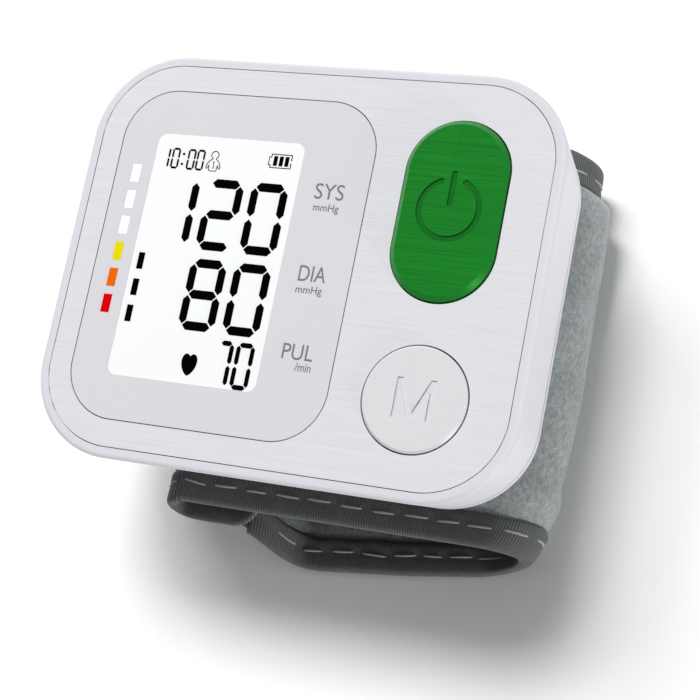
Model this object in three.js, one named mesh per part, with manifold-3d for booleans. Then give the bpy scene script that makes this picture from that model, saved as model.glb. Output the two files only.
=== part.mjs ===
// Wrist blood pressure monitor, lying face up on its closed cuff.
// Millimetres. X runs to the right of the face, Y up the face, Z up from the table.
// The housing and all it holds are modelled below the face, which is their Z = 0;
// the cuff is modelled from the table up.

import * as THREE from 'three';
import { mergeVertices } from 'three/addons/utils/BufferGeometryUtils.js';
import Module from 'manifold-3d';

const wasm = await Module();
wasm.setup();

// Clearances and facets
const gap = 0.3; // air between neighbouring pieces
const seam = 0.2; // seam round the face plate and the display panel
const buttonGap = 0.25; // air round each button
const patchGap = 0.05; // hook patch to the tab that carries it
const overrun = 2; // how far a cutting body runs past what it cuts
const cornerSteps = 8; // facets in a quarter turn of a large corner
const roundSides = 20; // facets round a small cylinder
const buttonSteps = 14; // facets in a quarter turn of a button

// Display
const screenWidth = 27;
const screenHeight = 42.6;
const screenCorner = 1.8;
const screenLeftMargin = 6.7; // panel to the left of the screen
const screenRightMargin = 12.3;
const screenEndMargin = 7.5; // panel above and below the screen
const panelCorner = 9;
const glassBorder = 2.4; // glass beyond the visible screen
const glassThickness = 1.9;
const backlightThickness = 2.2;
const contactStripThickness = 1.8; // rubber strip that joins glass and board

// Face plate and housing
const panelLeftMargin = 4; // plate to the left of the panel
const panelEndMargin = 4.6; // plate above and below the panel
const keyLeftMargin = 5.9; // plate between panel and keys
const keyRightMargin = 6.9;
const plateCorner = 13.2;
const plateThickness = 1;
const rimWidth = 2; // from the plate's edge to the widest outline of the housing
const rimEdgeRadius = 1;
const wallThickness = 1.6;
const webThickness = 0.9; // shelf that carries the plate
const rearWall = 1.5;
const rearHeight = 7.2; // height of the seam between the shells above the housing's back
const sideDraft = 0.75; // what a side wall loses on its way to the split
const endDraft = 2; // the same on the top and bottom walls
const backRoundSide = 4.5; // rounding of the rear shell at the sides
const backRoundEnd = 4; // and at the top and bottom
const lipThickness = 0.8; // tongue of the rear shell inside the front shell
const lipHeight = 1.6;

// Buttons
const powerY = 11.8;
const powerWidth = 17.2;
const powerLength = 30.2;
const powerProud = 1.2;
const memoryY = -19.1;
const memoryDiameter = 17.2;
const memoryProud = 0.5;
const buttonChamfer = 0.8;
const memoryChamfer = 0.35;
const flangeReach = 0.6; // how far a button's flange runs under the web
const flangeThickness = 1;
const stemRadius = 1.6;
const padThickness = 1; // wall of the silicone return ring
const padInnerRadius = 4.7;

// Marks cut into the buttons
const engraveDepth = 0.25;
const powerRingRadius = 4.97; // middle of the ring's stroke
const strokeWidth = 0.95;
const ringOpening = 24; // degrees left open to each side of the bar
const barBottom = 0.5; // bar above the ring's centre
const barTop = 6.4;
const letterSize = 6.5;
const letterStroke = 0.85;

// Circuit board and what it carries
const boardCorner = 8;
const boardThickness = 1.2;
const boardY = -0.6;
const boardSideClear = 4.1; // from the line of the screw bosses to the board's edge
const boardEdge = 2.1; // from the posts to the board's top and bottom edges
const boardEdgeSide = 3.5; // and to its left edge
const postClear = 1.7; // posts that carry the board, beyond the glass
const postKeyClear = 5.2; // and to the left of the power key's flange
const postRadius = 1.5;
const pegRadius = 0.8;
const switchSize = 6;
const switchHeight = 0.9;
const plungerShows = 0.5; // above the switch case
const plungerLength = 0.7;
const plungerRadius = 1.7;
const plungerPocket = 0.75;
const sensorSize = 7;
const sensorHeight = 3.4;
const barbRadius = 0.6;
const barbLength = 2;
const buzzerEdge = 5; // centre to the board's left edge
const buzzerY = 3;
const buzzerRadius = 4.5;
const buzzerHeight = 2.5;

// Batteries, two AAA cells side by side behind a lid in the top wall
const cellDiameter = 10.5;
const cellLength = 44.5;
const cellNub = 1; // positive pole, inside the cell's length
const cellNubRadius = 1.9;
const cellX = 1.25; // middle of the cells
const cellEdge = 9.5; // middle of the outer cell to the widest outline of the housing
const cellPitch = 11;
const cellAir = 0.5; // air between the cells and the board
const contactThickness = 0.4;
const contactInset = 1.4; // contact plates stay this far inside the cells' outline
const springReach = 1.2; // raised part of the negative contact
const springRadius = 2.6;
const ribThickness = 1.2;
const ribTop = 11; // depth of the bay's ribs
const ribSetback = 2.3; // ribs end this far inside the outer cell's outline
const sillHeight = 0.2; // rear shell under the lid, above the floor
const lidMargin = 5.2; // lid beyond the cells at each end
const runnerThickness = 1.2; // guides of the lid beside the bay's ribs
const runnerLength = 8;
const runnerHeight = 5;
const gripDepth = 0.35;
const gripWidth = 0.8;
const gripPitch = 1.9;
const gripCount = 5;
const gripLength = 12;

// Pump, valve and air path
const motorLength = 15;
const motorWidth = 12;
const motorHeight = 10;
const motorEdge = 27.5; // left face of the motor to the housing's right edge
const pumpEdge = 16.4; // middle of the pump to its bottom edge
const pumpHeadLength = 12;
const pumpHeadWidth = 13;
const pumpBore = 3.4;
const shaftRadius = 0.75;
const shaftReach = 5; // shaft inside the pump head
const camRadius = 2.2;
const camOffset = 0.6;
const camLength = 3;
const valveEdge = 17; // middle of the valve to the housing's left edge
const valveSize = 10;
const valveHeight = 9;
const valvePinRadius = 1.2;
const valvePinLength = 6;
const valvePinShows = 2;
const manifoldOffset = 13; // to the right of the valve
const manifoldShift = 0.175; // above the middle of the space between bay and pump
const manifoldSize = 8;
const manifoldHeight = 5;
const hoseRadius = 1.4;
const hoseBore = 0.9;
const sealThickness = 0.8;
const nippleRadius = 2;
const nippleBore = 0.9;
const nippleFlange = 3.1;

// Screws and the plate that carries the cuff
const bossEdgeX = 6.4; // middle of a screw to the sides of the housing
const bossEdgeY = 12.4; // and to its top and bottom
const bossRadius = 2.2;
const rearBossRadius = 2.6;
const rearBossHeight = 5;
const screwRadius = 0.9;
const screwHeadRadius = 1.8;
const screwHeadHeight = 0.9;
const screwLength = 9;
const headRecess = 1.8;
const driveSlot = 0.5;
const carrierCorner = 4;
const carrierSpan = 14; // between the two rows of studs
const carrierEdge = 5.5; // studs from the carrier's long edges
const carrierEnd = 3; // and from its short edges
const carrierClear = 2.15; // upper studs below the battery bay
const carrierThickness = 1;
const studX = 27;
const studRadius = 1.4;
const studHeadRadius = 2.3;
const studHeadHeight = 0.8;

// Cuff
const cuffWidth = 70;
const cuffOverhang = 4.1; // near edge of the cuff beyond the face plate
const loopHeight = 16; // table to the top of the bound edge
const boundThickness = 2.6; // thickness over the edge binding
const bindingWidth = 7;
const bindingPly = 0.5;
const bindingRound = 0.6;
const pinchedHalf = 0.5; // half thickness of the plies inside the binding
const plyGapHalf = 0.15; // half the air between the two plies
const coverPly = 0.75; // fleece ply away from the edges
const edgeClear = 0.8; // plies stop this far inside the fold of the binding
const bendSetback = 7.95; // centre of the right bend, inside the housing's right edge
const bendLean = 0.034; // how far the bend runs to the left per millimetre away from the viewer
const bendTuck = 1; // far edge drawn in at the right bend
const strapLean = 0.07; // the same for the strap on the table
const tabLean = 0.02; // and for the tab at its end
const sideSwell = 2.4; // fleece beyond the binding at the right bend
const topSwell = 0.5; // the same under the housing
const shoulderSwell = 1.2; // and where the strap comes out from under it
const shoulderShare = 0.93; // where along the top strap that rise begins
const innerSwell = 1.2; // lining below the bladder
const foldSetback = 19.03; // centre of the left fold, inside the housing's left edge
const flapThickness = 1.5;
const flapTop = 11.4; // height of the flap's upper face
const flapReach = 13.47; // from the fold to the flap's end
const riseStartReach = 20.97; // from the fold to where the strap leaves the table
const riseEndReach = 9.97;
const tabReach = 2.97;
const tabTop = 9.2;
const tabThickness = 0.6;
const hookThickness = 0.4;
const hookMargin = 3;
const forwardSkew = 6.9; // how far the strap strays towards the viewer
const endTaper = 0.6; // bound thickness share left where the strap meets the tab
const bladderLength = 46;
const bladderWidth = 40;
const bladderX = 4;
const bladderEdge = 3;

// Places and levels that follow from the sizes above
const panelWidth = screenLeftMargin + screenWidth + screenRightMargin;
const panelHeight = screenHeight + 2 * screenEndMargin;
const plateWidth = panelLeftMargin + panelWidth + keyLeftMargin + powerWidth + keyRightMargin;
const plateHeight = panelHeight + 2 * panelEndMargin;
const panelX = panelLeftMargin + (panelWidth - plateWidth) / 2;
const screenX = panelX + (screenLeftMargin - screenRightMargin) / 2;
const buttonX = (plateWidth - powerWidth) / 2 - keyRightMargin;
const housingHalfX = plateWidth / 2 + rimWidth;
const housingHalfY = plateHeight / 2 + rimWidth;
const housingCorner = plateCorner + rimWidth;
const seatDepth = plateThickness + gap; // shelf under the plate and the panel
const webDepth = seatDepth + webThickness;
const boardTop = webDepth + glassThickness + backlightThickness + 3 * gap; // depth of its upper face
const boardBottom = boardTop + boardThickness;
const switchTop = boardTop - gap - switchHeight; // depth of the switch case's upper face
const plungerTop = switchTop - plungerShows;
const cellDepth = boardBottom + cellAir + cellDiameter / 2;
const floorDepth = cellDepth + cellDiameter / 2 + gap; // inner face of the rear shell
const housingDepth = floorDepth + rearWall;
const splitDepth = housingDepth - rearHeight; // depth at which front and rear shell meet
const pumpDepth = floorDepth - gap - motorHeight / 2;
const bossX = housingHalfX - bossEdgeX;
const bossY = housingHalfY - bossEdgeY;
const postY = screenHeight / 2 + glassBorder + postRadius + postClear;
const boardWidth = 2 * (bossX - boardSideClear);
const boardHeight = 2 * (postY + boardEdge);
const postX1 = boardEdgeSide - boardWidth / 2;
const postX2 = buttonX - powerWidth / 2 - flangeReach - postRadius - postKeyClear;
const buzzerX = buzzerEdge - boardWidth / 2;
const cellY = housingHalfY - cellEdge; // middle of the outer cell
const lidLeft = cellX - cellLength / 2 - lidMargin;
const lidRight = cellX + cellLength / 2 + lidMargin;
const lidTopDepth = cellDepth - cellDiameter / 2 - gap;
const bayLeft = cellX - cellLength / 2 - springReach - contactThickness - 2 * gap;
const bayRight = cellX + cellLength / 2 + contactThickness + 2 * gap;
const bayNear = cellY - cellPitch - cellDiameter / 2 - gap;
const motorX = housingHalfX - motorEdge; // left face of the motor
const pumpY = pumpEdge - housingHalfY;
const valveX = valveEdge - housingHalfX;
const valveY = pumpY;
const manifoldX = valveX + manifoldOffset;
const manifoldY = (bayNear - ribThickness + pumpY + pumpHeadWidth / 2) / 2 + manifoldShift;
const studY = bayNear - ribThickness - carrierClear; // upper row of studs
const carrierY = studY - carrierSpan / 2;
const carrierWidth = 2 * (studX + carrierEnd);
const carrierHeight = carrierSpan + 2 * carrierEdge;
const boundHalf = boundThickness / 2;
const topMiddle = loopHeight - boundHalf; // middle of the top strap's edge
const bendRadius = (loopHeight - boundThickness) / 2;
const bendZ = loopHeight / 2;
const bendX = housingHalfX - bendSetback;
const foldX = foldSetback - housingHalfX;
const flapEnd = foldX + flapReach;
const riseStart = foldX + riseStartReach;
const riseEnd = foldX + riseEndReach;
const tabEnd = foldX + tabReach;
const cuffNear = -(plateHeight / 2 + cuffOverhang); // near edge of the cuff under the housing
const carrierBottom = loopHeight + topSwell + gap;
const backHeight = carrierBottom + carrierThickness + gap;
const faceHeight = backHeight + housingDepth;

// Finishes
const shellFinish = { color: 0xe2e1e8, roughness: 0.42 };
const plateFinish = { color: 0xe4e4e8, roughness: 0.38, metalness: 0.35 };
const panelFinish = { color: 0xdfdee5, roughness: 0.35 };
const screenFinish = { color: 0xf4f6f5, roughness: 0.25 };
const greenFinish = { color: 0x1a8a2c, roughness: 0.35, metalness: 0.3 };
const boardFinish = { color: 0x1d5a38, roughness: 0.5 };
const blackFinish = { color: 0x232427, roughness: 0.6 };
const greyFinish = { color: 0x9a9ca0, roughness: 0.55 };
const steelFinish = { color: 0xb9bbc0, roughness: 0.3, metalness: 0.9 };
const siliconeFinish = { color: 0xd8dadc, roughness: 0.7 };
const cellFinish = { color: 0x3f6fae, roughness: 0.35, metalness: 0.3 };
const fleeceFinish = { color: 0x7d8887, roughness: 0.95 };
const liningFinish = { color: 0x4b4f4a, roughness: 0.9 };
const bindingFinish = { color: 0x34373a, roughness: 0.85 };

const bodyGroup = new THREE.Group(); // housing and contents, hung from the face
bodyGroup.position.z = faceHeight;
const cuffGroup = new THREE.Group(); // cuff, measured from the table
const model = new THREE.Group();
model.add(bodyGroup, cuffGroup);

// Solids from geometries, and back
function toSolid(geometry) {
  const bare = geometry.clone();
  bare.deleteAttribute('normal');
  bare.deleteAttribute('uv');
  const merged = mergeVertices(bare);
  return new wasm.Manifold(new wasm.Mesh({
    numProp: 3,
    vertProperties: merged.attributes.position.array,
    triVerts: Uint32Array.from(merged.index.array),
  }));
}

function toGeometry(solid) {
  const mesh = solid.getMesh();
  const geometry = new THREE.BufferGeometry();
  geometry.setAttribute('position', new THREE.BufferAttribute(mesh.vertProperties, 3));
  geometry.setIndex(new THREE.BufferAttribute(mesh.triVerts, 1));
  geometry.computeVertexNormals();
  return geometry;
}

function addPiece(group, name, shape, finish) {
  const geometry = shape.isBufferGeometry ? shape : toGeometry(shape);
  const mesh = new THREE.Mesh(geometry, new THREE.MeshStandardMaterial(finish));
  mesh.name = name;
  group.add(mesh);
}

function joined(solids) {
  return solids.reduce((whole, solid) => whole.add(solid));
}

// Flat outlines
function roundedRect(width, height, radius, x = 0, y = 0) {
  const [halfX, halfY] = [width / 2, height / 2];
  const points = [];
  for (const [signX, signY, start] of [[1, -1, 1.5], [1, 1, 0], [-1, 1, 0.5], [-1, -1, 1]]) {
    for (let step = 0; step <= cornerSteps; step += 1) {
      const angle = (start + step / cornerSteps / 2) * Math.PI;
      points.push(new THREE.Vector2(
        x + signX * (halfX - radius) + radius * Math.cos(angle),
        y + signY * (halfY - radius) + radius * Math.sin(angle),
      ));
    }
  }
  return points;
}

function obround(width, length, inset = 0) {
  const radius = width / 2 - inset;
  const rise = (length - width) / 2;
  const points = [];
  for (const [sign, start] of [[1, 0], [-1, 1]]) {
    for (let step = 0; step <= 2 * buttonSteps; step += 1) {
      const angle = (start + step / buttonSteps / 2) * Math.PI;
      points.push(new THREE.Vector2(radius * Math.cos(angle), sign * rise + radius * Math.sin(angle)));
    }
  }
  return length > width ? points : points.slice(0, -1).filter((_, index) => index !== 2 * buttonSteps);
}

// Straight bodies between two heights
function prism(points, bottom, top) {
  const options = { depth: top - bottom, bevelEnabled: false };
  const geometry = new THREE.ExtrudeGeometry(new THREE.Shape(points), options);
  return toSolid(geometry.translate(0, 0, bottom));
}

function block(low, high) {
  const [a, b] = [new THREE.Vector3(...low), new THREE.Vector3(...high)];
  const size = b.clone().sub(a);
  const middle = a.add(b).multiplyScalar(0.5);
  return toSolid(new THREE.BoxGeometry(size.x, size.y, size.z).translate(middle.x, middle.y, middle.z));
}

function post(x, y, radius, bottom, top) {
  const geometry = new THREE.CylinderGeometry(radius, radius, top - bottom, roundSides);
  return toSolid(geometry.rotateX(Math.PI / 2).translate(x, y, (top + bottom) / 2));
}

function rodAlongX(left, right, y, z, radius) {
  const geometry = new THREE.CylinderGeometry(radius, radius, right - left, roundSides);
  return toSolid(geometry.rotateZ(Math.PI / 2).translate((left + right) / 2, y, z));
}

function rodAlongY(x, near, far, z, radius) {
  const geometry = new THREE.CylinderGeometry(radius, radius, far - near, roundSides);
  return toSolid(geometry.translate(x, (near + far) / 2, z));
}

// A closed body through a row of rings with equally many points. Each ring comes
// with its own flat contour, which is what closes the first and the last one.
function loft(rings, contours) {
  const count = rings[0].length;
  const index = [];
  for (let ring = 0; ring + 1 < rings.length; ring += 1) {
    for (let point = 0; point < count; point += 1) {
      const next = (point + 1) % count;
      const [a, b] = [ring * count + point, ring * count + next];
      index.push(a, b, b + count, a, b + count, a + count);
    }
  }
  const capAt = (contour, base, forward) => {
    const turns = THREE.ShapeUtils.area(contour) > 0;
    for (const [a, b, c] of THREE.ShapeUtils.triangulateShape(contour, [])) {
      const sameTurn = THREE.ShapeUtils.area([contour[a], contour[b], contour[c]]) > 0 === turns;
      const corners = sameTurn === forward ? [a, b, c] : [a, c, b];
      index.push(...corners.map((corner) => base + corner));
    }
  };
  capAt(contours[0], 0, false);
  capAt(contours.at(-1), (rings.length - 1) * count, true);
  const points = rings.flat();
  let volume = 0;
  for (let at = 0; at < index.length; at += 3) {
    const [a, b, c] = [points[index[at]], points[index[at + 1]], points[index[at + 2]]];
    volume += a.dot(b.clone().cross(c));
  }
  if (volume < 0) index.reverse();
  const geometry = new THREE.BufferGeometry();
  geometry.setFromPoints(points);
  geometry.setIndex(index);
  return geometry;
}

// Housing outline at each depth, drawn in by a wall thickness for the cavity
function housingBody(inset, topDepth, bottomDepth, edgeRadius) {
  const levels = [];
  const edgeFacets = 3;
  for (let step = 0; step <= edgeFacets && edgeRadius > 0; step += 1) {
    const angle = (step / edgeFacets) * Math.PI / 2;
    const pullIn = edgeRadius * (1 - Math.sin(angle));
    levels.push([topDepth + edgeRadius * (1 - Math.cos(angle)), pullIn, pullIn]);
  }
  if (edgeRadius === 0) levels.push([topDepth, 0, 0]);
  const backFacets = 5;
  for (let step = 0; step <= backFacets; step += 1) {
    const angle = (step / backFacets) * Math.PI / 2;
    const turn = 1 - Math.cos(angle);
    const depth = splitDepth + (bottomDepth - splitDepth) * Math.sin(angle);
    levels.push([depth, sideDraft + backRoundSide * turn, endDraft + backRoundEnd * turn]);
  }
  const contours = levels.map(([, pullX, pullY]) => roundedRect(
    2 * (housingHalfX - inset - pullX),
    2 * (housingHalfY - inset - pullY),
    housingCorner - inset - Math.max(pullX, pullY) / 2,
  ));
  const rings = contours.map((contour, at) => contour.map(
    (point) => new THREE.Vector3(point.x, point.y, -levels[at][0]),
  ));
  return toSolid(loft(rings, contours));
}

const bossPlaces = [[-bossX, -bossY], [bossX, -bossY], [bossX, bossY], [-bossX, bossY]];
const studPlaces = [-studX, studX].flatMap((x) => [[x, studY - carrierSpan], [x, studY]]);
const postPlaces = [postX1, postX2].flatMap((x) => [[x, boardY - postY], [x, boardY + postY]]);
const wholeHousing = housingBody(0, 0, housingDepth, rimEdgeRadius);
const cavity = housingBody(wallThickness, webDepth, floorDepth, 0);

// Everything above or below a depth
function slab(topDepth, bottomDepth) {
  return block(
    [-housingHalfX - overrun, -housingHalfY - overrun, -bottomDepth],
    [housingHalfX + overrun, housingHalfY + overrun, -topDepth],
  );
}

// Space that the battery lid takes out of both shells
function lidSpace(clearance) {
  return block(
    [lidLeft - clearance, housingHalfY - endDraft - backRoundEnd - wallThickness - overrun,
      sillHeight - floorDepth - clearance],
    [lidRight + clearance, housingHalfY + overrun, -lidTopDepth + clearance],
  );
}

function buttonHole(width, length, y, clearance, bottom, top) {
  const outline = obround(width + 2 * clearance, length + 2 * clearance);
  return prism(outline, bottom, top).translate(buttonX, y, 0);
}

function makeFrontShell() {
  const recess = roundedRect(plateWidth + 2 * seam, plateHeight + 2 * seam, plateCorner + seam);
  const screen = roundedRect(screenWidth, screenHeight, screenCorner, screenX);
  let shell = wholeHousing.intersect(slab(-overrun, splitDepth)).subtract(cavity)
    .subtract(prism(recess, -seatDepth, overrun))
    .subtract(prism(screen, -webDepth - overrun, overrun))
    .subtract(buttonHole(powerWidth, powerLength, powerY, buttonGap, -webDepth - overrun, overrun))
    .subtract(buttonHole(memoryDiameter, memoryDiameter, memoryY, buttonGap, -webDepth - overrun, overrun));
  const bossBottom = housingDepth - rearBossHeight - gap;
  const seat = webThickness / 2; // how far posts and bosses root in the web
  for (const [x, y] of bossPlaces) {
    shell = shell.add(post(x, y, bossRadius, -bossBottom, -webDepth + seat))
      .subtract(post(x, y, screwRadius + seam, -bossBottom - overrun, -webDepth - overrun));
  }
  for (const [x, y] of postPlaces) {
    shell = shell.add(post(x, y, postRadius, gap - boardTop, -webDepth + seat))
      .add(post(x, y, pegRadius, -boardBottom, gap - boardTop + seat));
  }
  return shell.subtract(lidSpace(0));
}

function makeRearShell() {
  const lipInset = wallThickness + gap;
  const collarBottom = splitDepth + lipHeight;
  const body = wholeHousing.intersect(slab(splitDepth + gap, housingDepth + overrun))
    .add(housingBody(lipInset, webDepth, floorDepth, 0).intersect(slab(splitDepth - lipHeight, collarBottom)));
  const hollow = cavity.intersect(slab(collarBottom, housingDepth))
    .add(housingBody(lipInset + lipThickness, webDepth - overrun, floorDepth, 0)
      .intersect(slab(splitDepth - lipHeight - overrun, collarBottom + seam)));
  const upright = (x1, x2, y1, y2, top) => block([x1, y1, -floorDepth - seam], [x2, y2, -top]);
  const bayFar = cellY + cellDiameter / 2 - ribSetback;
  const motorSide = pumpY + motorWidth / 2 + gap;
  const motorOther = pumpY - motorWidth / 2 - gap;
  const valveSide = valveY - valveSize / 2 - gap;
  const ribs = [
    upright(bayLeft - ribThickness, bayLeft, bayNear, bayFar, ribTop),
    upright(bayRight, bayRight + ribThickness, bayNear, bayFar, ribTop),
    upright(bayLeft - ribThickness, bayRight + ribThickness, bayNear - ribThickness, bayNear, ribTop),
    upright(motorX + gap, motorX + motorLength - gap, motorSide, motorSide + ribThickness, pumpDepth),
    upright(motorX + gap, motorX + motorLength - gap, motorOther - ribThickness, motorOther, pumpDepth),
    upright(valveX - valveSize / 2, valveX + valveSize / 2, valveSide - ribThickness, valveSide, pumpDepth),
  ];
  let shell = body.subtract(hollow).subtract(lidSpace(0)).add(joined(ribs));
  for (const [x, y] of bossPlaces) {
    shell = shell.subtract(post(x, y, bossRadius + gap, rearBossHeight - housingDepth, -webDepth))
      .add(post(x, y, rearBossRadius, -floorDepth - seam, rearBossHeight - housingDepth))
      .subtract(post(x, y, screwRadius + seam, -housingDepth - overrun, rearBossHeight + overrun - housingDepth))
      .subtract(post(x, y, screwHeadRadius + gap, -housingDepth - overrun, headRecess - housingDepth));
  }
  for (const [x, y] of studPlaces) {
    shell = shell.subtract(post(x, y, studRadius + gap, -housingDepth - overrun, overrun - floorDepth));
  }
  return shell.subtract(
    post(manifoldX, manifoldY, nippleRadius + gap, -housingDepth - overrun, overrun - floorDepth),
  );
}

// Lid in the top wall: a piece of the wall itself, with a grip and two guides
function makeBatteryLid() {
  const wall = wholeHousing.subtract(cavity).intersect(lidSpace(-gap));
  const grips = [];
  for (let at = 0; at < gripCount; at += 1) {
    const depth = cellDepth + (at - (gripCount - 1) / 2) * gripPitch;
    const y = housingHalfY - endDraft * (depth / splitDepth) - gripDepth;
    grips.push(block(
      [cellX - gripLength / 2, y, -depth - gripWidth / 2],
      [cellX + gripLength / 2, y + overrun, -depth + gripWidth / 2],
    ));
  }
  const runners = [bayLeft - ribThickness - gap - runnerThickness, bayRight + ribThickness + gap].map(
    (left) => block(
      [left, cellY + cellDiameter / 2 - runnerLength, -cellDepth - runnerHeight / 2],
      [left + runnerThickness, housingHalfY - endDraft - wallThickness / 2, runnerHeight / 2 - cellDepth],
    ),
  );
  return wall.add(joined(runners)).subtract(joined(grips));
}

function makeFacePlate() {
  const panel = roundedRect(panelWidth + 2 * seam, panelHeight + 2 * seam, panelCorner + seam, panelX);
  return prism(roundedRect(plateWidth, plateHeight, plateCorner), -plateThickness, 0)
    .subtract(prism(panel, -plateThickness - overrun, overrun))
    .subtract(buttonHole(powerWidth, powerLength, powerY, buttonGap, -plateThickness - overrun, overrun))
    .subtract(buttonHole(memoryDiameter, memoryDiameter, memoryY, buttonGap, -plateThickness - overrun, overrun));
}

// Display stack, from the panel down to the board
function makeDisplay() {
  const panel = prism(roundedRect(panelWidth, panelHeight, panelCorner, panelX), -plateThickness, 0);
  addPiece(bodyGroup, 'display_panel', panel, panelFinish);
  const glassTop = webDepth + gap;
  const halfWidth = screenWidth / 2 + glassBorder;
  const halfHeight = screenHeight / 2 + glassBorder;
  const glass = block(
    [screenX - halfWidth, -halfHeight, -glassTop - glassThickness],
    [screenX + halfWidth, halfHeight, -glassTop],
  );
  addPiece(bodyGroup, 'lcd_glass', glass, screenFinish);
  const lightTop = glassTop + glassThickness + gap;
  const stripFar = contactStripThickness + gap - halfHeight;
  const backlight = block(
    [screenX - halfWidth, stripFar + gap, -lightTop - backlightThickness],
    [screenX + halfWidth, halfHeight, -lightTop],
  );
  addPiece(bodyGroup, 'lcd_backlight', backlight, screenFinish);
  const strip = block(
    [screenX - screenWidth / 2, gap - halfHeight, gap - boardTop],
    [screenX + screenWidth / 2, stripFar, -lightTop],
  );
  addPiece(bodyGroup, 'lcd_contact_strip', strip, blackFinish);
}

// Button with a chamfered top, a flange under the web and a stem
function makeButton(width, length, proud, chamfer) {
  const flangeTop = -webDepth - gap;
  const contours = [obround(width, length), obround(width, length), obround(width, length, chamfer)];
  const heights = [flangeTop - seam, proud - chamfer, proud];
  const rings = contours.map((contour, at) => contour.map(
    (point) => new THREE.Vector3(point.x, point.y, heights[at]),
  ));
  const flange = obround(width + 2 * flangeReach, length + 2 * flangeReach);
  return toSolid(loft(rings, contours))
    .add(prism(flange, flangeTop - flangeThickness, flangeTop))
    .add(post(0, 0, stemRadius, gap - plungerTop, flangeTop - flangeThickness + seam));
}

// Ring with a bar in its gap, the usual sign for switching on and off
function powerSign(bottom, top) {
  const points = [];
  const stroke = strokeWidth / 2;
  const open = THREE.MathUtils.degToRad(ringOpening);
  const ends = [Math.PI / 2 + open, 2.5 * Math.PI - open];
  const steps = 4 * cornerSteps;
  const at = (radius, angle) => new THREE.Vector2(radius * Math.cos(angle), radius * Math.sin(angle));
  const capFacets = 5;
  for (let step = 0; step <= steps; step += 1) {
    points.push(at(powerRingRadius + stroke, ends[0] + (ends[1] - ends[0]) * (step / steps)));
  }
  const endCentre = at(powerRingRadius, ends[1]);
  for (let step = 1; step < capFacets; step += 1) {
    points.push(at(stroke, ends[1] + Math.PI * (step / capFacets)).add(endCentre));
  }
  for (let step = steps; step >= 0; step -= 1) {
    points.push(at(powerRingRadius - stroke, ends[0] + (ends[1] - ends[0]) * (step / steps)));
  }
  const startCentre = at(powerRingRadius, ends[0]);
  for (let step = 1; step < capFacets; step += 1) {
    points.push(at(stroke, ends[0] + Math.PI * (1 + step / capFacets)).add(startCentre));
  }
  const bar = roundedRect(strokeWidth, barTop - barBottom, stroke * 0.7, 0, (barTop + barBottom) / 2);
  return prism(points, bottom, top).add(prism(bar, bottom, top));
}

// Letter M for the memory key, drawn as an outline of straight strokes
function memoryLetter(bottom, top) {
  const half = letterSize / 2;
  const inner = half - letterStroke;
  const slope = letterStroke * 1.15; // width of a slanting stroke along X
  const valley = -half;
  const outline = [
    [-half, -half], [-inner, -half], [-inner, half - 2 * slope], [-slope / 2, valley],
    [slope / 2, valley], [inner, half - 2 * slope], [inner, -half], [half, -half],
    [half, half], [half - slope, half], [0, valley + 2 * slope], [slope - half, half], [-half, half],
  ];
  return prism(outline.map(([x, y]) => new THREE.Vector2(x, y)), bottom, top);
}

// One key: button, silicone return ring, switch case and switch plunger
function makeKey(name, y, width, length, proud, chamfer, sign, finish) {
  const button = makeButton(width, length, proud, chamfer)
    .subtract(sign(proud - engraveDepth, proud + overrun)).translate(buttonX, y, 0);
  addPiece(bodyGroup, `${name}_button`, button, finish);
  const padTop = -webDepth - gap - flangeThickness - gap;
  const padBottom = gap - boardTop;
  const pad = post(buttonX, y, padInnerRadius + padThickness, padBottom, padTop)
    .subtract(post(buttonX, y, padInnerRadius, padBottom - overrun, padTop + overrun));
  addPiece(bodyGroup, `${name}_return_ring`, pad, siliconeFinish);
  const half = switchSize / 2;
  const box = block([buttonX - half, y - half, gap - boardTop], [buttonX + half, y + half, -switchTop])
    .subtract(post(buttonX, y, plungerRadius + seam, -switchTop - plungerPocket, overrun - switchTop));
  addPiece(bodyGroup, `${name}_switch_case`, box, blackFinish);
  const plunger = post(buttonX, y, plungerRadius, -plungerTop - plungerLength, -plungerTop);
  addPiece(bodyGroup, `${name}_switch_plunger`, plunger, greyFinish);
}

function makeCircuitBoard() {
  let board = prism(roundedRect(boardWidth, boardHeight, boardCorner, 0, boardY), -boardBottom, -boardTop);
  for (const [x, y] of postPlaces) {
    board = board.subtract(post(x, y, pegRadius + gap, -boardBottom - overrun, overrun - boardTop));
  }
  addPiece(bodyGroup, 'circuit_board', board, boardFinish);
  const buzzer = post(buzzerX, buzzerY, buzzerRadius, -boardBottom - gap - buzzerHeight, -boardBottom - gap)
    .subtract(post(buzzerX, buzzerY, buzzerRadius / 4, -boardBottom - gap - buzzerHeight - overrun,
      -boardBottom - gap - buzzerHeight / 2));
  addPiece(bodyGroup, 'buzzer', buzzer, blackFinish);
}

function makeCell(y) {
  const left = cellX - cellLength / 2;
  const right = left + cellLength;
  return rodAlongX(left, right - cellNub, y, -cellDepth, cellDiameter / 2)
    .add(rodAlongX(right - cellNub - seam, right, y, -cellDepth, cellNubRadius));
}

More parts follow.
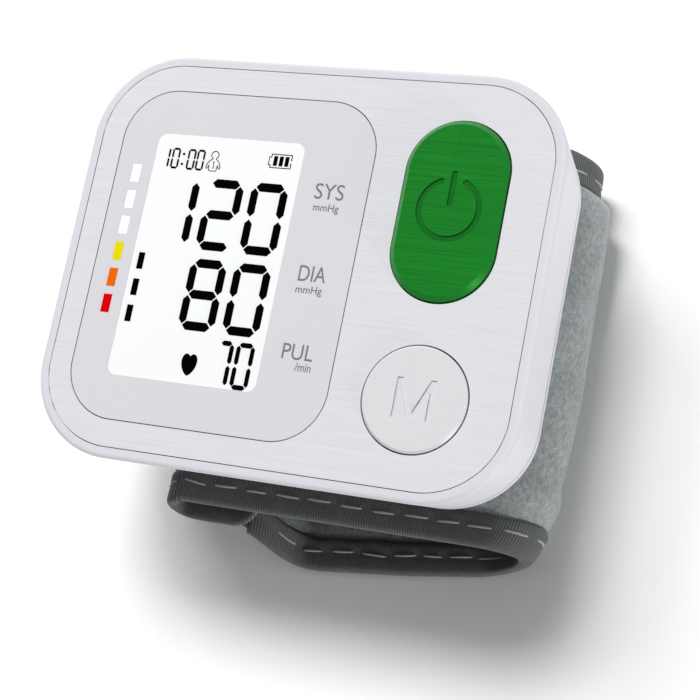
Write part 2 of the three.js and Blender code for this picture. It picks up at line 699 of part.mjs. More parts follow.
function makeBatteries() {
  addPiece(bodyGroup, 'battery_outer', makeCell(cellY), cellFinish);
  addPiece(bodyGroup, 'battery_inner', makeCell(cellY - cellPitch), cellFinish);
  const right = cellX + cellLength / 2 + gap;
  const left = cellX - cellLength / 2 - gap;
  const half = cellDiameter / 2 - contactInset;
  const bridge = block(
    [right, cellY - cellPitch - half, -cellDepth - half],
    [right + contactThickness, cellY + half, half - cellDepth],
  );
  addPiece(bodyGroup, 'battery_bridge_contact', bridge, steelFinish);
  [['battery_outer_contact', cellY], ['battery_inner_contact', cellY - cellPitch]].forEach(([name, y]) => {
    const plateLeft = left - springReach - contactThickness;
    const plate = block(
      [plateLeft, y - half, -cellDepth - half],
      [plateLeft + contactThickness, y + half, half - cellDepth],
    );
    const cone = new THREE.CylinderGeometry(springRadius / 2, springRadius, springReach, roundSides);
    cone.rotateZ(-Math.PI / 2).translate(left - springReach / 2, y, -cellDepth);
    addPiece(bodyGroup, name, plate.add(toSolid(cone)), steelFinish);
  });
}

// Pump motor, its shaft with an eccentric, and the pump head on the left of it
function makePump() {
  const radius = motorWidth / 2;
  const can = rodAlongX(motorX, motorX + motorLength, pumpY, -pumpDepth, radius).intersect(block(
    [motorX - overrun, pumpY - radius, -pumpDepth - motorHeight / 2],
    [motorX + motorLength + overrun, pumpY + radius, motorHeight / 2 - pumpDepth],
  ));
  const bearing = rodAlongX(motorX - overrun, motorX + shaftReach, pumpY, -pumpDepth, shaftRadius + seam);
  addPiece(bodyGroup, 'pump_motor', can.subtract(bearing), steelFinish);
  const shaft = rodAlongX(motorX - shaftReach, motorX + shaftReach - gap, pumpY, -pumpDepth, shaftRadius);
  const camLeft = motorX - shaftReach;
  const cam = rodAlongX(camLeft, camLeft + camLength, pumpY, camOffset - pumpDepth, camRadius);
  addPiece(bodyGroup, 'pump_shaft', shaft.add(cam), steelFinish);
  const headRight = motorX - gap;
  const headLeft = headRight - pumpHeadLength;
  const head = block(
    [headLeft, pumpY - pumpHeadWidth / 2, -pumpDepth - motorHeight / 2],
    [headRight, pumpY + pumpHeadWidth / 2, motorHeight / 2 - pumpDepth],
  ).subtract(rodAlongX(camLeft - gap - seam, headRight + overrun, pumpY, -pumpDepth, pumpBore))
    .add(rodAlongX(headLeft - barbLength, headLeft + seam, pumpY, -pumpDepth, barbRadius));
  addPiece(bodyGroup, 'pump_head', head, greyFinish);
}

// Release valve with its pin, which the coil pulls
function makeValve() {
  const half = valveSize / 2;
  const bottom = gap - floorDepth;
  const pinZ = bottom + valveHeight / 2;
  const left = valveX - half;
  const valve = block([left, valveY - half, bottom], [valveX + half, valveY + half, bottom + valveHeight])
    .subtract(rodAlongX(left - overrun, left + valvePinLength, valveY, pinZ, valvePinRadius + seam))
    .add(rodAlongY(valveX, valveY + half - seam, valveY + half + barbLength, -pumpDepth, barbRadius));
  addPiece(bodyGroup, 'valve_body', valve, blackFinish);
  const pinLeft = left - valvePinShows;
  const pin = rodAlongX(pinLeft, pinLeft + valvePinLength, valveY, pinZ, valvePinRadius);
  addPiece(bodyGroup, 'valve_pin', pin, steelFinish);
}

// Block that joins pump, valve, sensor and bladder, with the sensor plugged in on top
function makeAirBlock() {
  const half = manifoldSize / 2;
  const bottom = gap - floorDepth;
  const top = bottom + manifoldHeight;
  const frontX = manifoldX + half / 2;
  const [near, left] = [manifoldY - half, manifoldX - half];
  const bore = nippleBore + gap;
  const blockBody = block([left, near, bottom], [manifoldX + half, manifoldY + half, top])
    .add(rodAlongY(frontX, near - barbLength, near + seam, -pumpDepth, barbRadius))
    .add(rodAlongX(left - barbLength, left + seam, manifoldY, -pumpDepth, barbRadius))
    .subtract(post(manifoldX, manifoldY, bore, bottom - overrun, top + overrun));
  addPiece(bodyGroup, 'air_block', blockBody, greyFinish);
  const sensorTop = -boardBottom - gap;
  const sensorBottom = sensorTop - sensorHeight;
  const sensor = block(
    [manifoldX - sensorSize / 2, manifoldY - sensorSize / 2, sensorBottom],
    [manifoldX + sensorSize / 2, manifoldY + sensorSize / 2, sensorTop],
  ).add(post(manifoldX, manifoldY, nippleBore, top - overrun, sensorBottom + seam));
  addPiece(bodyGroup, 'pressure_sensor', sensor, blackFinish);
  const seal = post(manifoldX, manifoldY, bore + sealThickness, top + gap, top + gap + sealThickness)
    .subtract(post(manifoldX, manifoldY, nippleBore + gap, top, top + gap + sealThickness + overrun));
  addPiece(bodyGroup, 'sensor_seal', seal, siliconeFinish);
}

// Soft hose through hand-placed points
function makeHose(points) {
  const ring = (radius) => {
    const outline = new THREE.Path();
    outline.absarc(0, 0, radius, 0, 2 * Math.PI);
    return outline;
  };
  const section = new THREE.Shape(ring(hoseRadius).getPoints(cornerSteps / 2).slice(0, -1));
  section.holes.push(new THREE.Path(ring(hoseBore).getPoints(cornerSteps / 2).slice(0, -1)));
  const path = new THREE.CatmullRomCurve3(points.map(([x, y]) => new THREE.Vector3(x, y, -pumpDepth)));
  return toSolid(new THREE.ExtrudeGeometry(section, { steps: 12, extrudePath: path }));
}

function makeHoses() {
  const headLeft = motorX - gap - pumpHeadLength;
  const half = manifoldSize / 2;
  const frontX = manifoldX + half / 2;
  const bend = 2 * hoseRadius;
  const pumpEnd = headLeft - gap;
  const blockNear = manifoldY - half - gap;
  const pumpHose = makeHose([
    [pumpEnd, pumpY], [pumpEnd - bend, pumpY], [frontX + bend, pumpY], [frontX + bend / 2, pumpY + bend / 4],
    [frontX, pumpY + bend], [frontX, pumpY + 2 * bend], [frontX, blockNear - bend], [frontX, blockNear],
  ]);
  addPiece(bodyGroup, 'pump_hose', pumpHose, siliconeFinish);
  const valveFar = valveY + valveSize / 2 + gap;
  const blockLeft = manifoldX - half - gap;
  const valveHose = makeHose([
    [valveX, valveFar], [valveX, valveFar + bend], [valveX, manifoldY - bend],
    [valveX + bend / 4, manifoldY - bend / 4], [valveX + bend, manifoldY],
    [blockLeft - bend, manifoldY], [blockLeft, manifoldY],
  ]);
  addPiece(bodyGroup, 'valve_hose', valveHose, siliconeFinish);
}

function makeShellScrews() {
  bossPlaces.forEach(([x, y], at) => {
    const headBottom = headRecess - housingDepth - screwHeadHeight;
    const headTop = headRecess - housingDepth - patchGap;
    const slot = block(
      [x - screwHeadRadius, y - driveSlot / 2, headBottom - overrun],
      [x + screwHeadRadius, y + driveSlot / 2, headBottom + driveSlot],
    );
    const screw = post(x, y, screwHeadRadius, headBottom, headTop).subtract(slot)
      .add(post(x, y, screwRadius, headTop - seam, headTop + screwLength));
    addPiece(bodyGroup, `shell_screw_${at + 1}`, screw, steelFinish);
  });
}

// Plate riveted to the back of the housing by studs of its own; the cuff is sewn to it
function makeCuffCarrier() {
  const bottom = carrierBottom - faceHeight;
  const top = bottom + carrierThickness;
  const outline = roundedRect(carrierWidth, carrierHeight, carrierCorner, 0, carrierY);
  let carrier = prism(outline, bottom, top);
  for (const [x, y] of studPlaces) {
    const headBottom = gap - floorDepth;
    carrier = carrier.add(post(x, y, studRadius, top - seam, headBottom + seam))
      .add(post(x, y, studHeadRadius, headBottom, headBottom + studHeadHeight));
  }
  carrier = carrier.subtract(post(manifoldX, manifoldY, nippleRadius + gap, bottom - overrun, top + overrun));
  addPiece(bodyGroup, 'cuff_carrier', carrier, greyFinish);
}

// Stations along the cuff. Each has a place on the middle of the bound near edge, the
// outward direction, the two edges, its lean and how far the plies swell at it.
function station(x, z, angle, skewShare, extra = {}) {
  const near = cuffNear - forwardSkew * skewShare;
  const far = cuffNear + cuffWidth - forwardSkew * skewShare * farSkewShare - (extra.tuck ?? 0);
  return { x, z, nx: Math.cos(angle), nz: Math.sin(angle), near, far, lean: 0, slow: 0, scale: 1, ...extra };
}

const farSkewShare = 0.6; // the far edge strays less than the near one
const arcFacets = 8;
const strapSkewShares = { side: 0.05, corner: 0.5, rise: 1, risen: 0.36 };

function topStations() {
  const straight = [0, 0.25, 0.5, 0.75, shoulderShare, 1].map((share) => {
    const x = THREE.MathUtils.lerp(foldX, bendX, share);
    const late = Math.max(0, share - shoulderShare) / (1 - shoulderShare);
    const swell = THREE.MathUtils.lerp(topSwell, shoulderSwell, late);
    const inner = THREE.MathUtils.lerp(innerSwell, innerSwell / 2, late);
    return station(x, topMiddle, Math.PI / 2, 0, { swell, inner, slow: late });
  });
  const arc = [];
  for (let step = 1; step <= arcFacets; step += 1) {
    const share = step / arcFacets;
    const angle = (Math.PI / 2) * (1 - share);
    const swell = THREE.MathUtils.lerp(straight.at(-1).swell, sideSwell, Math.min(1, share * 2));
    const rise = Math.sin(angle) * bendRadius;
    const lift = step === arcFacets ? gap / 2 : 0;
    arc.push(station(bendX + Math.cos(angle) * bendRadius, bendZ + rise + lift, angle,
      strapSkewShares.side * share,
      { swell, inner: gap, slow: 1, lean: bendLean * Math.min(1, share * 2), tuck: bendTuck * share }));
  }
  return [...straight, ...arc];
}

function strapStations() {
  const stations = [];
  for (let step = 0; step <= arcFacets; step += 1) {
    const share = step / arcFacets;
    const angle = -(Math.PI / 2) * share;
    const drop = step === 0 ? -gap / 2 : 0;
    const skew = THREE.MathUtils.lerp(strapSkewShares.side, strapSkewShares.corner, share);
    stations.push(station(bendX + Math.cos(angle) * bendRadius,
      bendZ + Math.sin(angle) * bendRadius + drop, angle, skew,
      { swell: sideSwell * Math.max(0, 1 - 1.25 * share), inner: gap, slow: 1 - share, lean: bendLean,
        tuck: bendTuck * (1 - share) }));
  }
  for (const share of [0.3, 0.65, 1]) {
    const skew = THREE.MathUtils.lerp(strapSkewShares.corner, strapSkewShares.rise, share);
    const lean = THREE.MathUtils.lerp(bendLean, strapLean, share);
    stations.push(station(THREE.MathUtils.lerp(bendX, riseStart, share), boundHalf, -Math.PI / 2, skew,
      { swell: 0, inner: gap, lean }));
  }
  const tabMiddle = tabTop - tabThickness / 2;
  const reach = (riseStart - riseEnd) / 2;
  const rise = new THREE.CubicBezierCurve(
    new THREE.Vector2(riseStart, boundHalf), new THREE.Vector2(riseStart - reach, boundHalf),
    new THREE.Vector2(riseEnd + reach, tabMiddle), new THREE.Vector2(riseEnd, tabMiddle),
  );
  const riseFacets = 9;
  for (let step = 1; step <= riseFacets; step += 1) {
    const share = step / riseFacets;
    const place = rise.getPoint(share);
    const along = rise.getTangent(share);
    const skew = THREE.MathUtils.lerp(strapSkewShares.rise, strapSkewShares.risen, share ** 1.5);
    const lean = THREE.MathUtils.lerp(strapLean, tabLean, share);
    stations.push(station(place.x, place.y, Math.atan2(along.x, -along.y), skew,
      { swell: 0, inner: gap * (1 - share), lean, scale: THREE.MathUtils.lerp(1, endTaper, share) }));
  }
  return stations;
}

function flapStations() {
  const stations = [];
  const flapMiddle = flapTop - flapThickness / 2;
  const radius = (topMiddle - flapMiddle) / 2;
  const endScale = flapThickness / boundThickness;
  for (let step = 0; step <= arcFacets; step += 1) {
    const share = step / arcFacets;
    const angle = Math.PI / 2 + Math.PI * share;
    const aside = step === 0 ? gap : 0;
    stations.push(station(foldX - aside + Math.cos(angle) * radius,
      topMiddle - radius + Math.sin(angle) * radius, angle, strapSkewShares.risen * share,
      { swell: 0, inner: 0, scale: THREE.MathUtils.lerp(1, endScale, share) }));
  }
  for (const share of [0.5, 1]) {
    stations.push(station(THREE.MathUtils.lerp(foldX, flapEnd, share), flapMiddle, -Math.PI / 2,
      strapSkewShares.risen, { swell: 0, inner: 0, scale: endScale }));
  }
  return stations;
}

// Rise of the plies from the pinched edge to their full height. On the near side of the
// right bend it is slow.
const crownRise = [
  { inward: edgeClear, slowInward: edgeClear, crown: 0 },
  { inward: bindingWidth + gap, slowInward: bindingWidth + gap, crown: 0 },
  { inward: bindingWidth + 2 * gap, slowInward: 1.5 * bindingWidth, crown: 0.25 },
  { inward: 1.2 * bindingWidth, slowInward: 2.4 * bindingWidth, crown: 0.65 },
  { inward: 1.6 * bindingWidth, slowInward: 3.8 * bindingWidth, crown: 1 },
];

function sweep(stations, sectionAt) {
  const contours = stations.map((spot) => sectionAt(spot).map(([y, t]) => new THREE.Vector2(y, t)));
  const rings = contours.map((contour, at) => contour.map((point) => new THREE.Vector3(
    stations[at].x + stations[at].nx * point.y - stations[at].lean * (point.x - cuffNear),
    point.x, stations[at].z + stations[at].nz * point.y,
  )));
  return loft(rings, contours);
}

// One ply, between an outer and an inner offset that both depend on the crown
function plySection(outerAt, innerAt) {
  return (spot) => {
    const nearSide = crownRise.map(({ inward, slowInward, crown }) => (
      { y: spot.near + THREE.MathUtils.lerp(inward, slowInward, spot.slow), crown }));
    const farSide = crownRise.map(({ inward, crown }) => ({ y: spot.far - inward, crown })).reverse();
    const across = [...nearSide, ...farSide];
    const outer = across.map(({ y, crown }) => [y, spot.scale * outerAt(crown, spot)]);
    const inner = across.map(({ y, crown }) => [y, spot.scale * innerAt(crown, spot)]).reverse();
    return [...outer, ...inner];
  };
}

const outerFace = (crown, spot) => pinchedHalf + (boundHalf - pinchedHalf + spot.swell) * crown;
const innerFace = (crown, spot) => -pinchedHalf - (boundHalf - pinchedHalf + spot.inner) * crown;

function coverSection(hollow) {
  const innerSide = (crown, spot) => (hollow ? Math.max(plyGapHalf, outerFace(crown, spot) - coverPly)
    : plyGapHalf);
  return plySection(outerFace, innerSide);
}

function liningSection(hollow) {
  const outerSide = (crown, spot) => (hollow ? Math.min(-plyGapHalf, innerFace(crown, spot) + coverPly)
    : -plyGapHalf);
  return plySection(outerSide, innerFace);
}

// Tape folded round one edge
function bindingSection(side) {
  return (spot) => {
    const edge = side === 'near' ? spot.near : spot.far;
    const sign = side === 'near' ? 1 : -1;
    const inner = boundHalf - bindingPly;
    const outline = [
      [bindingWidth, boundHalf], [bindingRound, boundHalf], [0, boundHalf - bindingRound],
      [0, bindingRound - boundHalf], [bindingRound, -boundHalf], [bindingWidth, -boundHalf],
      [bindingWidth, -inner], [bindingPly, -inner], [bindingPly, inner], [bindingWidth, inner],
    ];
    return outline.map(([inward, offset]) => [edge + sign * inward, spot.scale * offset]);
  };
}

function addBindings(name, stations) {
  addPiece(cuffGroup, `${name}_binding_near`, sweep(stations, bindingSection('near')), bindingFinish);
  addPiece(cuffGroup, `${name}_binding_far`, sweep(stations, bindingSection('far')), bindingFinish);
}

// Top strap: fleece cover, bladder, lining and the nipple that feeds the bladder
function makeTopStrap() {
  const stations = topStations();
  const airWay = post(manifoldX, manifoldY, nippleRadius + gap, topMiddle, backHeight);
  const cover = toSolid(sweep(stations, coverSection(true))).subtract(airWay);
  addPiece(cuffGroup, 'top_cover', cover, fleeceFinish);
  addPiece(cuffGroup, 'top_lining', sweep(stations, liningSection(true)), liningFinish);
  addBindings('top', stations);
  const high = topMiddle + outerFace(1, { swell: topSwell }) - coverPly - gap;
  const low = topMiddle + innerFace(1, { inner: innerSwell }) + coverPly + gap;
  const middleY = cuffNear + cuffWidth / 2;
  const contours = [bladderEdge, 0, 0, bladderEdge].map((inset) => roundedRect(
    bladderLength - 2 * inset, bladderWidth - 2 * inset, 2 * bladderEdge, bladderX, middleY,
  ));
  const quarter = (high - low) / 4;
  const rings = contours.map((contour, at) => contour.map((point) => new THREE.Vector3(
    point.x, point.y, [low, low + quarter, high - quarter, high][at],
  )));
  const port = post(manifoldX, manifoldY, nippleBore, high - quarter, high + overrun);
  addPiece(cuffGroup, 'bladder', toSolid(loft(rings, contours)).subtract(port), blackFinish);
  const nippleBottom = high + gap;
  const nippleTop = faceHeight - floorDepth - patchGap;
  const nipple = post(manifoldX, manifoldY, nippleRadius, nippleBottom, nippleTop)
    .subtract(post(manifoldX, manifoldY, nippleBore, nippleBottom - overrun, nippleTop + overrun));
  addPiece(cuffGroup, 'air_nipple', nipple, siliconeFinish);
}

// Long strap under the wrist, which ends in a thin tab with the hook patch
function makeStrap() {
  const stations = strapStations();
  const root = stations.at(-1);
  const tab = [0, 1].map((share) => ({
    ...root, x: THREE.MathUtils.lerp(riseEnd - gap, tabEnd, share), scale: 1,
  }));
  const tabSection = (spot) => {
    const inset = edgeClear + (spot.x < (riseEnd + tabEnd) / 2 ? hookMargin : 0);
    const [near, far] = [spot.near + inset, spot.far - inset];
    return [[near, tabThickness / 2], [far, tabThickness / 2], [far, -tabThickness / 2],
      [near, -tabThickness / 2]];
  };
  const overlap = { ...root, x: riseEnd + gap, scale: 1 };
  const cover = toSolid(sweep(stations, coverSection(false)))
    .add(toSolid(sweep([overlap, ...tab], tabSection)));
  addPiece(cuffGroup, 'strap_cover', cover, fleeceFinish);
  const liningStations = stations.slice(0, -2);
  addPiece(cuffGroup, 'strap_lining', sweep(liningStations, liningSection(false)), liningFinish);
  addBindings('strap', stations.slice(0, -1));
  const hookBottom = patchGap + tabThickness / 2;
  const hookStations = [riseEnd - hookMargin / 2, tabEnd + hookMargin / 2].map((x) => (
    { ...root, x, scale: 1 }));
  const hook = sweep(hookStations, ({ near, far }) => [
    [near + 2 * hookMargin, -hookBottom], [far - 2 * hookMargin, -hookBottom],
    [far - 2 * hookMargin, -hookBottom - hookThickness], [near + 2 * hookMargin, -hookBottom - hookThickness],
  ]);
  addPiece(cuffGroup, 'hook_patch', hook, blackFinish);
}

// Short flap that folds under at the left and takes the hook patch on its fleece
function makeFlap() {
  const stations = flapStations();
  addPiece(cuffGroup, 'flap_cover', sweep(stations, plySection(outerFace, innerFace)), fleeceFinish);
  addBindings('flap', stations);
}

addPiece(bodyGroup, 'front_shell', makeFrontShell(), shellFinish);
addPiece(bodyGroup, 'rear_shell', makeRearShell(), shellFinish);
addPiece(bodyGroup, 'battery_lid', makeBatteryLid(), shellFinish);
addPiece(bodyGroup, 'face_plate', makeFacePlate(), plateFinish);
makeDisplay();
makeKey('power', powerY, powerWidth, powerLength, powerProud, buttonChamfer, powerSign, greenFinish);
makeKey('memory', memoryY, memoryDiameter, memoryDiameter, memoryProud, memoryChamfer, memoryLetter,
  plateFinish);
makeCircuitBoard();
makeBatteries();
makePump();
makeValve();
makeAirBlock();
makeHoses();
makeShellScrews();
makeCuffCarrier();
makeTopStrap();
makeStrap();
makeFlap();

// The part stands on the table with the middle of its footprint at the origin
const extent = new THREE.Box3().setFromObject(model);
const middle = extent.getCenter(new THREE.Vector3());
model.position.set(-middle.x, -middle.y, -extent.min.z);
model.updateMatrixWorld(true);

export default model;
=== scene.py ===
import logging
import math
from collections.abc import Callable, Iterator, Sequence
from contextlib import contextmanager
from dataclasses import astuple, dataclass, field, fields
from enum import Enum
from functools import cache
from typing import Any

import bmesh
import bpy
import numpy as np
from mathutils import Matrix, Vector


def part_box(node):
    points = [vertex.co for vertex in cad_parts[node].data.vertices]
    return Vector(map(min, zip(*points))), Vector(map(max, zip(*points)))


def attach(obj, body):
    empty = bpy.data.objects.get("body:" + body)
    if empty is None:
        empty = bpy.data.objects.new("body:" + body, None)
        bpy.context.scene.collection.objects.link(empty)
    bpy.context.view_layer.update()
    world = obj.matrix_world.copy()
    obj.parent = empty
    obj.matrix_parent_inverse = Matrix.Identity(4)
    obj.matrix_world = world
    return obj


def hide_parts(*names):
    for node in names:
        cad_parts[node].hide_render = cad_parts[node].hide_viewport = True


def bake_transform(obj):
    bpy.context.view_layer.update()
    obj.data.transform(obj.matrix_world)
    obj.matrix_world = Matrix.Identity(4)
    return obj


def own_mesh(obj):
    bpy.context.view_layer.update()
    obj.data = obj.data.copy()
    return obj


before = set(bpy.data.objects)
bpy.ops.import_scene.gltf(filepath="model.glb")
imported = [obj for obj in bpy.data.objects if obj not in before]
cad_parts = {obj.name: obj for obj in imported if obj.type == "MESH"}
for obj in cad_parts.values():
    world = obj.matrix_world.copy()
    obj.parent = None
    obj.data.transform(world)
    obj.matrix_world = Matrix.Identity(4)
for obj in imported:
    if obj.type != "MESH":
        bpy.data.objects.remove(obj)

log = logging.getLogger("wrist_monitor")

Piece = bpy.types.Object
Colour = tuple[float, float, float]
Point = tuple[float, float, float]
Place = tuple[float, float]
Test = Callable[[list[Vector]], bool]
Rule = Callable[[np.ndarray, np.ndarray], tuple[np.ndarray, np.ndarray]]

MM = 0.001  # a millimetre in the frame's metres
MIDDLE: Place = (0.0, 0.0)  # middle of the face
QUARTER = math.pi / 2
ABOVE, BELOW = 1.0, 2.0  # how far cutters stand out above and below what they cut
PRINT = 0.12  # thickness of print and of the screen's figures


# --- Workbench ---------------------------------------------------------------


class Cut(Enum):
    """How one solid is combined with another."""

    AWAY = "DIFFERENCE"
    TOGETHER = "UNION"
    SHARED = "INTERSECT"


def mix(first: float, second: float, share: float) -> float:
    """Return a number between two numbers."""
    return first + (second - first) * share


def wider(size: Place, air: float) -> Place:
    """Return a width and height with some air on every side."""
    return size[0] + 2 * air, size[1] + 2 * air


def deselect_everything() -> None:
    """Leave nothing selected, the frame's own nodes included."""
    bpy.ops.object.select_all(action="DESELECT")


def work_on(piece: Piece) -> None:
    """Make one piece the only selected one, and the active one.

    Args:
        piece: The piece that the next operators act on.
    """
    deselect_everything()
    piece.select_set(True)
    bpy.context.view_layer.objects.active = piece


@contextmanager
def editing(piece: Piece) -> Iterator[None]:
    """Open a piece in edit mode with all of it selected, and close it at the end.

    Args:
        piece: The piece, which stays the active one.

    Yields:
        Nothing.
    """
    work_on(piece)
    bpy.ops.object.mode_set(mode="EDIT")
    bpy.ops.mesh.select_all(action="SELECT")
    yield
    bpy.ops.object.mode_set(mode="OBJECT")


def fix_place(piece: Piece, size: Sequence[float] = (1, 1, 1)) -> Piece:
    """Move place, turn and size of the active piece into its mesh.

    Args:
        piece: The piece.
        size: How much it is resized on the way.

    Returns:
        The same piece.
    """
    piece.scale = size
    bpy.ops.object.transform_apply(location=True, rotation=True, scale=True)
    return piece


def added(name: str, size: Sequence[float] = (1, 1, 1)) -> Piece:
    """Return the primitive that was just added, under its name and with its place fixed."""
    bpy.context.object.name = name
    return fix_place(bpy.context.object, size)


def pick(piece: Piece, kind: str, wanted: Test) -> int:
    """Select parts of a mesh that is open in edit mode.

    Args:
        piece: The piece in edit mode.
        kind: "VERT", "EDGE" or "FACE".
        wanted: Says of the corners of one vertex, edge or face if it is to be selected.

    Returns:
        How many were selected.
    """
    bpy.ops.mesh.select_mode(type=kind)
    bpy.ops.mesh.select_all(action="DESELECT")
    mesh = bmesh.from_edit_mesh(piece.data)
    found = 0
    for part in {"VERT": mesh.verts, "EDGE": mesh.edges, "FACE": mesh.faces}[kind]:
        if wanted([part.co] if kind == "VERT" else [v.co for v in part.verts]):
            part.select_set(True)
            found += 1
    mesh.select_flush_mode()
    bmesh.update_edit_mesh(piece.data)
    return found


def at_height(height: float) -> Test:
    """Return a test that is true for whatever lies wholly at one height."""
    return lambda corners: all(abs(c.z - height) < 1e-4 for c in corners)


def face_out(merge: float = 0.0) -> None:
    """Turn all faces of the mesh in edit mode outwards.

    Args:
        merge: Vertices closer than this are merged first.
    """
    bpy.ops.mesh.select_all(action="SELECT")
    if merge:
        bpy.ops.mesh.remove_doubles(threshold=merge)
    bpy.ops.mesh.normals_make_consistent(inside=False)


def extrude_all(height: float) -> None:
    """Extrude the flat mesh in edit mode into a closed body.

    Args:
        height: How far, downwards where negative.
    """
    bpy.ops.mesh.select_all(action="SELECT")
    bpy.ops.mesh.extrude_region_move(TRANSFORM_OT_translate={"value": (0, 0, height)})
    face_out()


def slab(
    name: str, size: Place, radius: float, middle: Place, top: float, bottom: float,
    segments: int = 24,
) -> Piece:
    """Model a plate with rounded corners.

    Args:
        name: Name of the plate.
        size: Width and height of the outline.
        radius: Corner radius, nothing for square corners.
        middle: Where the outline's middle lies.
        top: Height of the upper face.
        bottom: Height of the lower face.
        segments: Facets in each corner.

    Returns:
        The plate, a closed body.
    """
    deselect_everything()
    bpy.ops.mesh.primitive_plane_add(size=1, location=(*middle, top))
    piece = added(name, (*size, 1))
    with editing(piece):
        if radius:  # a little less than asked, so that two full half circles don't meet
            bpy.ops.mesh.bevel(offset=radius * 0.9999, segments=segments, affect="VERTICES")
        extrude_all(bottom - top)
    return piece


def taper(piece: Piece, height: float, share: Sequence[float], drop: float = 0.0) -> None:
    """Resize what lies at one height of a body about the middle of the face.

    Args:
        piece: The body.
        height: Height of what is resized.
        share: Its new width and height as shares of the old ones.
        drop: How far down its face is extruded first.
    """
    with editing(piece):
        pick(piece, "FACE" if drop else "VERT", at_height(height))
        if drop:
            bpy.ops.mesh.extrude_region_move(TRANSFORM_OT_translate={"value": (0, 0, -drop)})
        bpy.ops.transform.resize(value=(*share, 1), center_override=(*MIDDLE, height - drop))


def round_off(piece: Piece, height: float, radius: float, segments: int) -> None:
    """Round the edges at one height of a body.

    Args:
        piece: The body.
        height: Height of the edges.
        radius: Size of the rounding.
        segments: Facets in it.
    """
    with editing(piece):
        if pick(piece, "EDGE", at_height(height)):
            bpy.ops.mesh.bevel(offset=radius, segments=segments, profile=0.5, affect="EDGES")


def box(name: str, low: Point, high: Point) -> Piece:
    """Model a block between two opposite corners.

    Args:
        name: Name of the block.
        low: Its lowest corner.
        high: Its highest corner.

    Returns:
        The block.
    """
    deselect_everything()
    bpy.ops.mesh.primitive_cube_add(size=1, location=[(a + b) / 2 for a, b in zip(low, high)])
    return added(name, [b - a for a, b in zip(low, high)])


def rod(
    name: str, middle: Point, radius: float, length: float, sides: int, lying: bool = False
) -> Piece:
    """Model a round rod.

    Args:
        name: Name of the rod.
        middle: Its middle.
        radius: Its radius.
        length: Its length.
        sides: Facets round it.
        lying: Whether it lies from left to right instead of standing.

    Returns:
        The rod.
    """
    deselect_everything()
    bpy.ops.mesh.primitive_cylinder_add(
        vertices=sides, radius=radius, depth=length, location=middle,
        rotation=(0, QUARTER if lying else 0, 0),
    )
    return added(name)


def peg(
    name: str, place: Place, radius: float, bottom: float, top: float, sides: int = 48
) -> Piece:
    """Return an upright round peg between two heights."""
    return rod(name, (*place, (top + bottom) / 2), radius, top - bottom, sides)


def combine(piece: Piece, other: Piece, how: Cut) -> None:
    """Combine a body with a second one, which is used up.

    Args:
        piece: The body that stays.
        other: The body that is used up.
        how: Whether it is cut away, joined on, or only the shared part is kept.
    """
    work_on(piece)
    modifier = piece.modifiers.new("Combine", "BOOLEAN")
    modifier.object = other
    modifier.operation = how.value
    modifier.solver = "MANIFOLD"
    bpy.ops.object.modifier_apply(modifier=modifier.name)
    bpy.data.objects.remove(other)


def cut_away(piece: Piece, *cutters: Piece) -> None:
    """Cut several bodies out of a piece, one after the other."""
    for cutter in cutters:
        combine(piece, cutter, Cut.AWAY)


def joined(name: str, pieces: Sequence[Piece]) -> Piece:
    """Put several meshes into one piece.

    Args:
        name: Name of the piece that they make.
        pieces: The meshes, of which the first one takes in the others.

    Returns:
        The one piece.
    """
    work_on(pieces[0])
    for piece in pieces[1:]:
        piece.select_set(True)
    if len(pieces) > 1:
        bpy.ops.object.join()
    pieces[0].name = name
    return pieces[0]


def copy_of(piece: Piece, name: str) -> Piece:
    """Copy a piece with a mesh of its own.

    Args:
        piece: What is copied.
        name: Name of the copy.

    Returns:
        The copy, which is linked to the scene and has no parent.
    """
    twin = bpy.data.objects.new(name, piece.data.copy())
    bpy.context.scene.collection.objects.link(twin)
    return twin


def smooth(piece: Piece, edge: float = 0.0, angle: float = 32, segments: int = 2) -> None:
    """Take the sharpness off the edges of a body and shade it smooth.

    Args:
        piece: The body.
        edge: Width of the small bevel along its sharp edges, nothing for none.
        angle: Edges that turn more than this many degrees count as sharp.
        segments: Facets in the small bevel.
    """
    work_on(piece)
    if edge:
        bevel = piece.modifiers.new("Edge", "BEVEL")
        bevel.width = edge
        bevel.segments = segments
        bevel.limit_method = "ANGLE"
        bevel.angle_limit = math.radians(angle)
        bevel.miter_outer = "MITER_ARC"
        bpy.ops.object.modifier_apply(modifier=bevel.name)
    bpy.ops.object.shade_smooth_by_angle(angle=math.radians(angle + 8))
    weigh = piece.modifiers.new("Normals", "WEIGHTED_NORMAL")
    weigh.keep_sharp = True
    bpy.ops.object.modifier_apply(modifier=weigh.name)


def wipe_uvs(piece: Piece) -> None:
    """Remove UV maps that primitives and booleans leave behind."""
    while piece.data.uv_layers:
        piece.data.uv_layers.remove(piece.data.uv_layers[0])


def dress(piece: Piece, *finishes: "Finish") -> None:
    """Give a piece its materials without touching which face has which.

    Args:
        piece: The piece.
        finishes: One finish for each of its material slots.
    """
    slots = piece.data.materials
    for number, finish in enumerate(finishes):
        if number < len(slots):
            slots[number] = finish.made()
        else:
            slots.append(finish.made())


def enter(piece: Piece, slot: str, *finishes: "Finish", nodes: Sequence[str] = ()) -> None:
    """Dress a piece that is in its place and hide the frame's nodes that it stands for.

    Args:
        piece: The piece.
        slot: The slot that its look belongs to; not used.
        finishes: One finish for each of its material slots.
        nodes: The frame's nodes that it stands for.
    """
    dress(piece, *finishes)
    if nodes:
        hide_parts(*nodes)
    log.info("%s: %d faces", piece.name, len(piece.data.polygons))


